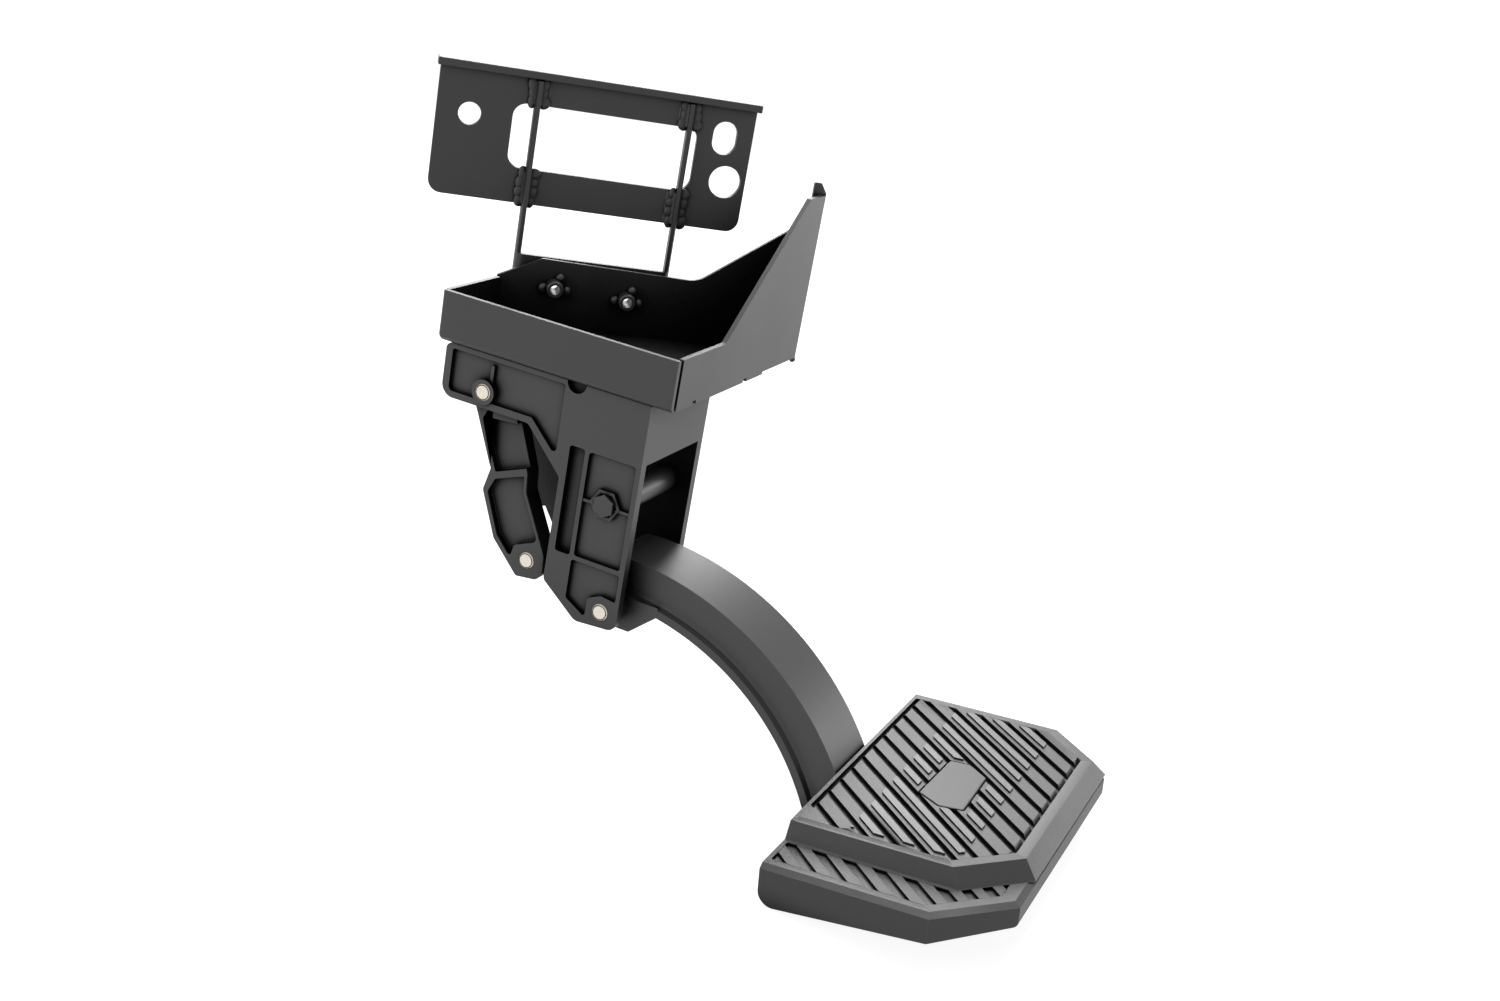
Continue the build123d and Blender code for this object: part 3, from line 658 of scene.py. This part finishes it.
def inward_walls(mesh: bmesh.types.BMesh, upward: Vector) -> set[int]:
    """Upright faces that look towards the middle of the mesh.

    Args:
        mesh: The merged mesh.
        upward: Direction that the walls are parallel to.

    Returns:
        Indices of the faces.
    """
    mesh.faces.index_update()
    middle = sum((v.co for v in mesh.verts), Vector()) / len(mesh.verts)
    found = set()
    for face in mesh.faces:
        upright = abs(face.normal.dot(upward)) < WALL_LEAN
        if upright and (middle - face.calc_center_median()).dot(face.normal) > 0.0:
            found.add(face.index)
    return found


def break_edges(
    mesh: bmesh.types.BMesh, edges: list[bmesh.types.BMEdge], width: float, segments: int
) -> None:
    """Bevel some edges of a mesh.

    Args:
        mesh: The bmesh.
        edges: The edges to break.
        width: How far each edge is taken back, in metres.
        segments: Faces across each broken edge.
    """
    bmesh.ops.bevel(
        mesh,
        geom=edges,
        offset=width,
        offset_type="OFFSET",
        segments=segments,
        profile=0.5,
        affect="EDGES",
        clamp_overlap=True,
        material=-1,
    )


@dataclass
class RoundedNode:
    """A copy of a rigid part of the frame with its sharp edges broken."""

    node: str
    body: Body
    slot: Slot
    radius: float = 0.5 * MM
    segments: int = 2
    angle: float = 32.0
    soften: Soften = Soften.ALL

    def merged(self) -> bmesh.types.BMesh:
        """Copy the node's mesh, with its triangles joined to flat faces.

        Returns:
            The merged bmesh.
        """
        mesh = bmesh.new()
        mesh.from_mesh(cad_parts[self.node].data)
        bmesh.ops.remove_doubles(mesh, verts=mesh.verts, dist=MERGE_DISTANCE)
        bmesh.ops.dissolve_limit(
            mesh,
            angle_limit=SEAM_ANGLE,
            verts=mesh.verts,
            edges=mesh.edges,
            use_dissolve_boundaries=False,
        )
        return mesh

    def spared(self, mesh: bmesh.types.BMesh) -> set[int]:
        """Faces whose edges stay sharp.

        Args:
            mesh: The merged mesh.

        Returns:
            Indices of the faces.
        """
        if self.soften is Soften.INSIDE:
            return outer_walls(mesh, PadFrame().normal)
        if self.soften is Soften.OUTSIDE:
            return inward_walls(mesh, PadFrame().normal)
        return set()

    def round(self, mesh: bmesh.types.BMesh) -> None:
        """Bevel the sharp edges that are to be broken.

        Args:
            mesh: The merged mesh.
        """
        limit = math.radians(self.angle)
        spared = self.spared(mesh)
        sharp = [
            e
            for e in mesh.edges
            if len(e.link_faces) == 2
            and e.calc_face_angle() > limit
            and not any(f.index in spared for f in e.link_faces)
        ]
        break_edges(mesh, sharp, self.radius, self.segments)

    def build(self, material: bpy.types.Material) -> bpy.types.Object:
        """Make the copy, round it and let it stand for the node.

        Args:
            material: Its finish.

        Returns:
            The new piece.
        """
        mesh = self.merged()
        self.round(mesh)
        return seat(mesh, self.node, self.body, material)


def weigh_normals(obj: bpy.types.Object) -> None:
    """Let the large faces set the normals, so that sheets shade flat beside rounded edges.

    Args:
        obj: A smooth-shaded object.
    """
    weigh = obj.modifiers.new("weigh_normals", "WEIGHTED_NORMAL")
    weigh.keep_sharp = True
    weigh.weight = AREA_WEIGHT
    plain = obj.data
    shaped = obj.evaluated_get(bpy.context.evaluated_depsgraph_get())
    obj.data = bpy.data.meshes.new_from_object(shaped)
    obj.modifiers.clear()
    bpy.data.meshes.remove(plain)


def seat(
    mesh: bmesh.types.BMesh, node: str, body: Body, material: bpy.types.Material
) -> bpy.types.Object:
    """Finish a mesh as the dressed piece that stands for a node.

    Args:
        mesh: The finished bmesh, which is freed.
        node: The node that it replaces.
        body: The body that carries it.
        material: Its finish.

    Returns:
        The new piece.
    """
    for face in mesh.faces:
        face.smooth = True
    obj = mesh_object(f"{node}_dressed", mesh)
    obj.data.set_sharp_from_angle(angle=CORNER_ANGLE)
    weigh_normals(obj)
    dress(obj, material)
    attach(obj, body.value)
    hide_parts(node)
    LOG.info("dressed %s", node)
    return obj


def spun(
    profile: list[tuple[float, float]], centre: tuple[float, float], steps: int = 56
) -> bmesh.types.BMesh:
    """Turn a profile about an axis along Y.

    Args:
        profile: Pairs of radius and y, from pole to pole.
        centre: The axis in x and z.
        steps: Facets round the axis.

    Returns:
        A closed bmesh whose faces point outwards.
    """
    mesh = bmesh.new()
    ring = [mesh.verts.new((centre[0] + radius, y, centre[1])) for radius, y in profile]
    edges = [mesh.edges.new(pair) for pair in zip(ring, ring[1:])]
    bmesh.ops.spin(
        mesh,
        geom=ring + edges,
        cent=(centre[0], 0.0, centre[1]),
        axis=(0.0, 1.0, 0.0),
        angle=2.0 * math.pi,
        steps=steps,
        use_merge=True,
    )
    bmesh.ops.remove_doubles(mesh, verts=mesh.verts, dist=MERGE_DISTANCE)
    bmesh.ops.recalc_face_normals(mesh, faces=mesh.faces)
    return mesh


def prism(mesh: bmesh.types.BMesh, points: list[Vector], along: Vector) -> None:
    """Add a closed prism.

    Args:
        mesh: The bmesh to add to.
        points: Corners of one end, in order.
        along: From that end to the other.
    """
    near = mesh.faces.new([mesh.verts.new(point) for point in points])
    moved = bmesh.ops.extrude_face_region(mesh, geom=[near], use_keep_orig=True)["geom"]
    ends = [v for v in moved if isinstance(v, bmesh.types.BMVert)]
    bmesh.ops.translate(mesh, verts=ends, vec=along)
    bmesh.ops.recalc_face_normals(mesh, faces=mesh.faces)


# Sub-assemblies


@dataclass(frozen=True)
class CastForm:
    """Flat form that belongs to a casting: a prism along Y, given by its side view."""

    name: str
    body: Body
    corners: Outline
    near: float
    far: float

    def build(self, coat: bpy.types.Material) -> None:
        """Make the form and let it ride with its casting.

        Args:
            coat: Finish of the casting.
        """
        mesh = bmesh.new()
        corners = [Vector((x, self.near, z)) for x, z in self.corners]
        prism(mesh, corners, Vector((0.0, self.far - self.near, 0.0)))
        obj = mesh_object(self.name, mesh)
        dress(obj, coat)
        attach(obj, self.body.value)
        LOG.info("added %s", self.name)


WEB_LOBE = CastForm(
    "linkage_housing_lobe",
    Body.BRACKET,
    ((-0.0002, -0.228), (0.0171, -0.2666), (0.0268, -0.2635), (0.0218, -0.245), (0.0078, -0.221)),
    -0.0336,
    -0.0299,
)
LINK_RIM = CastForm(
    "swing_link_rim",
    Body.LINK,
    (
        (-0.0136, -0.142),
        (-0.0012, -0.169),
        (0.0147, -0.2056),
        (0.0168, -0.2095),
        (0.0211, -0.2105),
        (0.0033, -0.169),
        (-0.004, -0.151),
        (-0.007, -0.142),
    ),
    -0.12258,
    -0.1047,
)


@dataclass
class WeldRuns:
    """Rippled fillet welds where the two uprights meet the plate. Drop sizes are in millimetres."""

    place: Point = (-0.040192, -0.057136, -0.073)
    turn: float = math.radians(36.0)
    depth: float = 0.0148
    legs: tuple[tuple[float, int], ...] = ((0.0129, -1), (0.0177, 1), (0.1386, -1), (0.1434, 1))
    spans: tuple[tuple[float, float], ...] = ((0.0614, 0.0842), (0.1428, 0.1572))
    pitch: float = 7.5 * MM
    drop_width: float = 4.6
    width_spread: tuple[float, float] = (-1.0, 1.2)
    drop_height: float = 2.1
    drop_length: float = 6.2
    length_spread: tuple[float, float] = (-1.2, 0.8)
    seed: int = 7

    def build(self, coat: bpy.types.Material) -> None:
        """Lay every bead as overlapping drops.

        Args:
            coat: Finish of the sheets, which covers the welds too.
        """
        chance = random.Random(self.seed)
        mesh = bmesh.new()
        base = Matrix.Translation(self.place) @ Matrix.Rotation(self.turn, 4, "Z")
        for x, side in self.legs:
            for low, high in self.spans:
                count = round((high - low) / self.pitch)
                for k in range(count + 1):
                    width = (self.drop_width + chance.uniform(*self.width_spread)) * MM
                    length = (self.drop_length + chance.uniform(*self.length_spread)) * MM
                    centre = (x + side * 0.5 * width, self.depth, low + (high - low) * k / count)
                    drop = Matrix.Diagonal((width, self.drop_height * MM, length, 1.0))
                    bmesh.ops.create_icosphere(
                        mesh,
                        subdivisions=3,
                        radius=1.0,
                        matrix=base @ Matrix.Translation(centre) @ drop,
                    )
        for face in mesh.faces:
            face.smooth = True
        obj = mesh_object("riser_welds", mesh)
        dress(obj, coat)
        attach(obj, Body.BRACKET.value)
        LOG.info("added %s", obj.name)


@dataclass
class Bracket:
    """Bent and welded bracket: plate, uprights, tray and side sheet."""

    sheets: tuple[str, ...] = (
        "mounting_plate",
        "riser_frame",
        "tray_pan",
        "back_wall",
        "side_gusset",
    )
    nuts: tuple[str, ...] = ("weld_nut_left", "weld_nut_right")
    sheet_edge: float = 0.45 * MM
    nut_edge: float = 0.3 * MM

    def build(self, coat: bpy.types.Material, fastener: bpy.types.Material) -> None:
        """Dress the bracket's welds, sheets and nuts.

        Args:
            coat: Finish of the sheets.
            fastener: Finish of the weld nuts.
        """
        WeldRuns().build(coat)
        for node in self.sheets:
            RoundedNode(node, Body.BRACKET, Slot.SHEET, self.sheet_edge).build(coat)
        for node in self.nuts:
            RoundedNode(node, Body.BRACKET, Slot.FASTENER, self.nut_edge).build(fastener)


@dataclass
class Casting:
    """A cast piece: housing, link, arm or pad."""

    node: str
    body: Body
    edge: float
    segments: int = 3
    soften: Soften = Soften.ALL

    def build(self, coat: bpy.types.Material) -> None:
        """Round and dress the casting.

        Args:
            coat: Its finish.
        """
        rounded = RoundedNode(
            self.node, self.body, Slot.CAST, self.edge, self.segments, soften=self.soften
        )
        rounded.build(coat)


@dataclass(frozen=True)
class LowerTread:
    """Insert of the lower tier, a thin sheet with ribs between wide diagonal grooves.

    Its sizes are in millimetres, in the pad's frame, but for the edge, which is in metres.
    """

    node: str = "tread_lower"
    region: Outline = (
        (3.75, -40.25),
        (120.6, -40.25),
        (162.7, 1.9),
        (162.7, 21.2),
        (129.6, -11.75),
        (3.75, -11.75),
    )
    low: float = -15.35
    floor: float = -14.4
    high: float = -12.0
    start: float = -30.2
    pitch: float = 23.4
    groove: float = 8.2
    count: int = 10
    sunk: float = 0.3
    edge: float = 0.45 * MM

    @staticmethod
    def clipped(
        points: list[tuple[float, float]], sign: int, limit: float
    ) -> list[tuple[float, float]]:
        """Keep the part of an outline on one side of a diagonal.

        Args:
            points: Corners of the outline, in order.
            sign: 1 keeps where x + y is over the limit, -1 where it is under.
            limit: Value of x + y on the diagonal.

        Returns:
            Corners of what is left.
        """
        kept: list[tuple[float, float]] = []
        for (ax, ay), (bx, by) in zip(points, points[1:] + points[:1]):
            a, b = sign * (ax + ay - limit), sign * (bx + by - limit)
            if a >= 0.0:
                kept.append((ax, ay))
            if (a < 0.0) != (b < 0.0):
                share = a / (a - b)
                kept.append((ax + share * (bx - ax), ay + share * (by - ay)))
        return kept

    def slab(
        self,
        mesh: bmesh.types.BMesh,
        points: list[tuple[float, float]],
        low: float,
        high: float,
    ) -> None:
        """Add one prism in the pad's frame.

        Args:
            mesh: The bmesh to add to.
            points: Its outline, in millimetres.
            low: Its lower level, in millimetres.
            high: Its upper level, in millimetres.
        """
        place = PadFrame().matrix()
        corners = [place @ (Vector((x, y, low)) * MM) for x, y in points]
        prism(mesh, corners, PadFrame().normal * (high - low) * MM)

    def build(self, coat: bpy.types.Material) -> None:
        """Build the insert in place of its node.

        Args:
            coat: Its finish.
        """
        mesh = bmesh.new()
        half = self.groove / math.sqrt(2.0)
        for k in range(-1, self.count):
            middle = self.start + k * self.pitch
            rib = self.clipped(list(self.region), 1, middle + half)
            rib = self.clipped(rib, -1, middle + self.pitch - half) if rib else []
            if len(rib) > 2:
                self.slab(mesh, rib, self.floor - self.sunk, self.high)
        up = PadFrame().normal
        tops = [f for f in mesh.faces if f.normal.dot(up) > LEVEL_SHARE]
        break_edges(mesh, list({e for f in tops for e in f.edges}), self.edge, 2)
        self.slab(mesh, list(self.region), self.low, self.floor)
        seat(mesh, self.node, Body.ARM, coat)


@dataclass
class Tread:
    """Ribbed inserts of the pad: two treads and a plain plaque."""

    nodes: tuple[str, ...] = ("tread_upper", "badge_plate")
    edge: float = 0.5 * MM
    crest_level: float = 0.9 * MM

    def build(self, plain: bpy.types.Material, worn_and_highlit: bpy.types.Material) -> None:
        """Dress the inserts, with the raised crests lighter: partly wear, partly a painted highlight.

        Args:
            plain: Finish of the inserts.
            worn_and_highlit: Finish of the crests.
        """
        LowerTread().build(plain)
        pad = PadFrame()
        for node in self.nodes:
            insert = RoundedNode(node, Body.ARM, Slot.TREAD, self.edge, soften=Soften.INSIDE)
            obj = insert.build(plain)
            obj.data.materials.append(worn_and_highlit)
            for face in obj.data.polygons:
                if pad.height(face.center) > self.crest_level:
                    face.material_index = 1


@dataclass
class TurnedPin:
    """Bright pivot pin: chamfered ends with a turned groove round a plain face."""

    node: str
    body: Body
    colour: Colour = (0.6, 0.56, 0.49)
    radius: float = 7.0 * MM
    face: float = 5.55 * MM
    face_round: float = 0.12 * MM
    groove_width: float = 0.6 * MM
    groove_depth: float = 0.6 * MM
    groove_slope: float = 0.05 * MM
    rim_back: float = 0.1 * MM
    rim_round: float = 0.15 * MM
    dimple: tuple[float, float] = (0.8 * MM, 1.1 * MM)
    chamfer: float = 0.75 * MM
    shy: float = 0.15 * MM

    def end(self, y: float, inward: float) -> list[tuple[float, float]]:
        """Profile of one end from its middle to its full radius.

        Args:
            y: Place of the end face.
            inward: 1 where the pin runs towards +Y from this end, otherwise -1.

        Returns:
            Pairs of radius and y.
        """
        floor = y + inward * self.groove_depth
        rim = y + inward * self.rim_back
        groove_end = self.face + self.groove_width
        return [
            (0.0, y + inward * self.face_round),
            (self.dimple[0], rim),
            (self.dimple[1], y),
            (self.face - self.face_round, y),
            (self.face, y + inward * self.face_round),
            (self.face + self.groove_slope, floor),
            (groove_end, floor),
            (groove_end + self.groove_slope, rim),
            (self.radius - self.chamfer + self.rim_round, rim),
            (self.radius, y + inward * self.chamfer),
        ]

    def build(self, groups: Groups) -> None:
        """Turn the pin and dress it.

        Args:
            groups: The shared node groups.
        """
        low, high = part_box(self.node)
        centre = ((low.x + high.x) / 2, (low.z + high.z) / 2)
        profile = self.end(low.y + self.shy, 1.0) + self.end(high.y - self.shy, -1.0)[::-1]
        groove = self.face + self.groove_width / 2
        finish = TurnedFinish(f"{self.node}_bright", self.colour, centre, groove=groove)
        seat(spun(profile, centre), self.node, self.body, finish.build(groups))


@dataclass
class StopBolt:
    """Cross bolt: hexagon head with a broken front edge, plain shank and a threaded end."""

    node: str = "stop_bolt"
    flats: float = 17.0 * MM
    head: float = 6.4 * MM
    head_overlap: float = 0.2 * MM
    shank: float = 5.0 * MM
    chamfer: float = 0.9 * MM
    thread: float = 22.0 * MM
    thread_depth: float = 0.7 * MM
    tip_depth: float = 0.8 * MM
    pitch: float = 1.5 * MM
    facets: int = 32

    def head_mesh(self, mesh: bmesh.types.BMesh, centre: tuple[float, float], y: float) -> None:
        """Add the head: a hexagon whose front edge is broken.

        Args:
            mesh: The bmesh to add to.
            centre: The axis in x and z.
            y: Place of the head's face.
        """
        turn = Matrix.Rotation(math.radians(90.0), 4, "X")
        place = Matrix.Translation((centre[0], y + self.head / 2, centre[1])) @ turn
        corner = self.flats / math.sqrt(3.0)
        bmesh.ops.create_cone(
            mesh,
            cap_ends=True,
            segments=6,
            radius1=corner,
            radius2=corner,
            depth=self.head,
            matrix=place,
        )
        front = [e for e in mesh.edges if all(abs(v.co.y - y) < MERGE_DISTANCE for v in e.verts)]
        break_edges(mesh, front, self.chamfer, 2)

    def shank_profile(self, start: float, end: float) -> list[tuple[float, float]]:
        """Profile of the shank, with the thread's rings at its far end.

        Args:
            start: Where the shank leaves the head.
            end: Its far end.

        Returns:
            Pairs of radius and y.
        """
        points = [(0.0, start), (self.shank, start), (self.shank, end - self.thread)]
        turns = int(self.thread / self.pitch) - 1
        for k in range(turns):
            y = end - self.thread + k * self.pitch
            points.append((self.shank - self.thread_depth, y + 0.5 * self.pitch))
            points.append((self.shank, y + self.pitch))
        points.append((self.shank - self.tip_depth, end))
        points.append((0.0, end))
        return points

    def build(self, material: bpy.types.Material) -> None:
        """Build the bolt in place of its node.

        Args:
            material: Its finish.
        """
        low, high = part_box(self.node)
        centre = ((low.x + high.x) / 2, (low.z + high.z) / 2)
        start = low.y + self.head - self.head_overlap
        turned = spun(self.shank_profile(start, high.y), centre, self.facets)
        shank = bpy.data.meshes.new("stop_bolt_shank")
        turned.to_mesh(shank)
        turned.free()
        whole = bmesh.new()
        self.head_mesh(whole, centre, low.y)
        whole.from_mesh(shank)
        bpy.data.meshes.remove(shank)
        seat(whole, self.node, Body.BRACKET, material)


@dataclass
class SmallParts:
    """Bolts, nuts, the stop washer and sleeve, screws, bushes and the spring."""

    plain: dict[str, Slot] = field(
        default_factory=lambda: {
            "housing_bolts": Slot.FASTENER,
            "housing_nuts": Slot.FASTENER,
            "stop_washer": Slot.FASTENER,
            "stop_nut": Slot.FASTENER,
            "stop_sleeve": Slot.FASTENER,
            "pad_screws": Slot.FASTENER,
            "link_bush": Slot.BUSH,
            "arm_bush_near": Slot.BUSH,
            "arm_bush_far": Slot.BUSH,
            "arm_spring": Slot.SPRING,
        }
    )

    def build(self, finishes: dict[Slot, bpy.types.Material]) -> None:
        """Dress each small node in place.

        Args:
            finishes: Material of each slot.
        """
        for node, slot in self.plain.items():
            dress(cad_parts[node], finishes[slot])
            LOG.info("dressed %s", node)


@dataclass(frozen=True)
class Lamp:
    """Square area lamp, with its side in metres and its power in watts."""

    name: str
    place: Point
    target: Point
    side: float
    power: float

    def hang(self) -> None:
        """Add the lamp and aim it."""
        data = bpy.data.lights.new(self.name, "AREA")
        data.size = self.side
        data.energy = self.power
        obj = bpy.data.objects.new(self.name, data)
        aim = (Vector(self.target) - Vector(self.place)).to_track_quat("-Z", "Y")
        obj.matrix_world = Matrix.Translation(self.place) @ aim.to_matrix().to_4x4()
        bpy.context.scene.collection.objects.link(obj)


STEP_MIDDLE = (0.2, -0.05, -0.1)
LAMPS = (
    Lamp("key_above", (0.0, 0.6, 2.0), STEP_MIDDLE, 1.6, 46.0),
    Lamp("back_high", (-0.9, 2.0, 1.2), STEP_MIDDLE, 1.6, 58.0),
    Lamp("side_right", (1.5, 1.9, -0.1), (0.1, 0.0, -0.1), 0.8, 10.0),
    Lamp("front_left", (-0.9, -2.2, 0.5), STEP_MIDDLE, 1.4, 14.0),
)


@dataclass
class Studio:
    """Camera, soft lamps, pale floor and white surroundings."""

    eye: Point = (0.70662, -1.29036, 0.29454)
    right: Point = (0.889548, 0.421897, 0.175235)
    up: Point = (-0.297905, 0.244894, 0.922648)
    forward: Point = (-0.346349, 0.872943, -0.34353)
    lens: float = 42.58
    sensor: float = 36.0
    near_clip: float = 0.05
    floor_drop: float = 0.001
    floor_size: float = 80.0
    floor_colour: Colour = (0.8, 0.8, 0.8)
    floor_roughness: float = 0.9
    floor_glow: float = 1.55
    floor_glow_share: float = 0.58
    sky_on_object: float = 0.3
    sky_seen: float = 1.0

    def camera(self) -> None:
        """Put the camera where the photograph was taken from."""
        data = bpy.data.cameras.new("camera")
        data.lens = self.lens
        data.sensor_width = self.sensor
        data.clip_start = self.near_clip
        obj = bpy.data.objects.new("camera", data)
        turn = Matrix((self.right, self.up, tuple(-c for c in self.forward))).transposed()
        obj.matrix_world = Matrix.Translation(self.eye) @ turn.to_4x4()
        bpy.context.scene.collection.objects.link(obj)
        bpy.context.scene.camera = obj

    def floor(self, height: float) -> None:
        """Lay the pale floor.

        Args:
            height: Its level.
        """
        mesh = bmesh.new()
        bmesh.ops.create_grid(mesh, x_segments=1, y_segments=1, size=self.floor_size)
        bmesh.ops.translate(mesh, verts=mesh.verts, vec=(0.0, 0.0, height))
        obj = mesh_object("floor", mesh)
        material, nodes, shader = new_material("floor_pale")
        shader.inputs["Base Color"].default_value = (*self.floor_colour, 1.0)
        shader.inputs["Roughness"].default_value = self.floor_roughness
        glow = nodes.add("ShaderNodeEmission")
        glow.inputs["Color"].default_value = WHITE
        glow.inputs["Strength"].default_value = self.floor_glow
        mix = nodes.add("ShaderNodeMixShader")
        share = nodes.math("MULTIPLY", nodes.backdrop_rays(), self.floor_glow_share)
        nodes.link(share, mix.inputs["Fac"])
        nodes.link(shader.outputs["BSDF"], mix.inputs[1])
        nodes.link(glow.outputs["Emission"], mix.inputs[2])
        surface = material.node_tree.nodes["Material Output"].inputs["Surface"]
        nodes.link(mix.outputs["Shader"], surface)
        dress(obj, material)

    def world(self) -> None:
        """Make the surroundings white to the eye and soft grey to the object."""
        world = bpy.data.worlds.new("studio")
        world.use_nodes = True
        bpy.context.scene.world = world
        nodes = NodeSheet(world.node_tree)
        sky = world.node_tree.nodes["Background"]
        sky.inputs["Color"].default_value = WHITE
        more = self.sky_seen - self.sky_on_object
        strength = nodes.math("MULTIPLY", nodes.backdrop_rays(), more)
        nodes.link(nodes.math("ADD", strength, self.sky_on_object), sky.inputs["Strength"])

    def build(self) -> None:
        """Set up the whole studio."""
        self.camera()
        self.world()
        self.floor(CAD_BOX[0].z - self.floor_drop)
        for lamp in LAMPS:
            lamp.hang()
        bpy.context.scene.view_settings.view_transform = "Standard"
        LOG.info("studio ready")


def main() -> None:
    """Build every sub-assembly in order."""
    Studio().build()
    groups = Groups()
    fastener = BLACKENED_STEEL.build(groups)
    Bracket().build(POWDER_COAT.build(groups), fastener)
    cast = CAST_COAT.build(groups)
    Casting("linkage_housing", Body.BRACKET, 0.8 * MM).build(cast)
    Casting("swing_link", Body.LINK, 0.6 * MM, segments=2).build(cast)
    Casting("step_arm", Body.ARM, 0.8 * MM).build(ARM_COAT.build(groups))
    for form in (WEB_LOBE, LINK_RIM):
        form.build(cast)
    pad = PAD_COAT.build(groups)
    Casting("pad_base", Body.ARM, 1.2 * MM, soften=Soften.OUTSIDE).build(pad)
    Tread().build(pad, WORN_AND_HIGHLIT_CREST.build(groups))
    StopBolt().build(fastener)
    bush = BUSH_PLASTIC.build(groups)
    spring = SPRING_STEEL.build(groups)
    SmallParts().build({Slot.FASTENER: fastener, Slot.BUSH: bush, Slot.SPRING: spring})
    for node, body in (
        ("link_pivot_pin", Body.BRACKET),
        ("arm_pivot_pin", Body.BRACKET),
        ("catch_pin", Body.LINK),
    ):
        TurnedPin(node, body).build(groups)


if __name__ == "__main__":
    main()
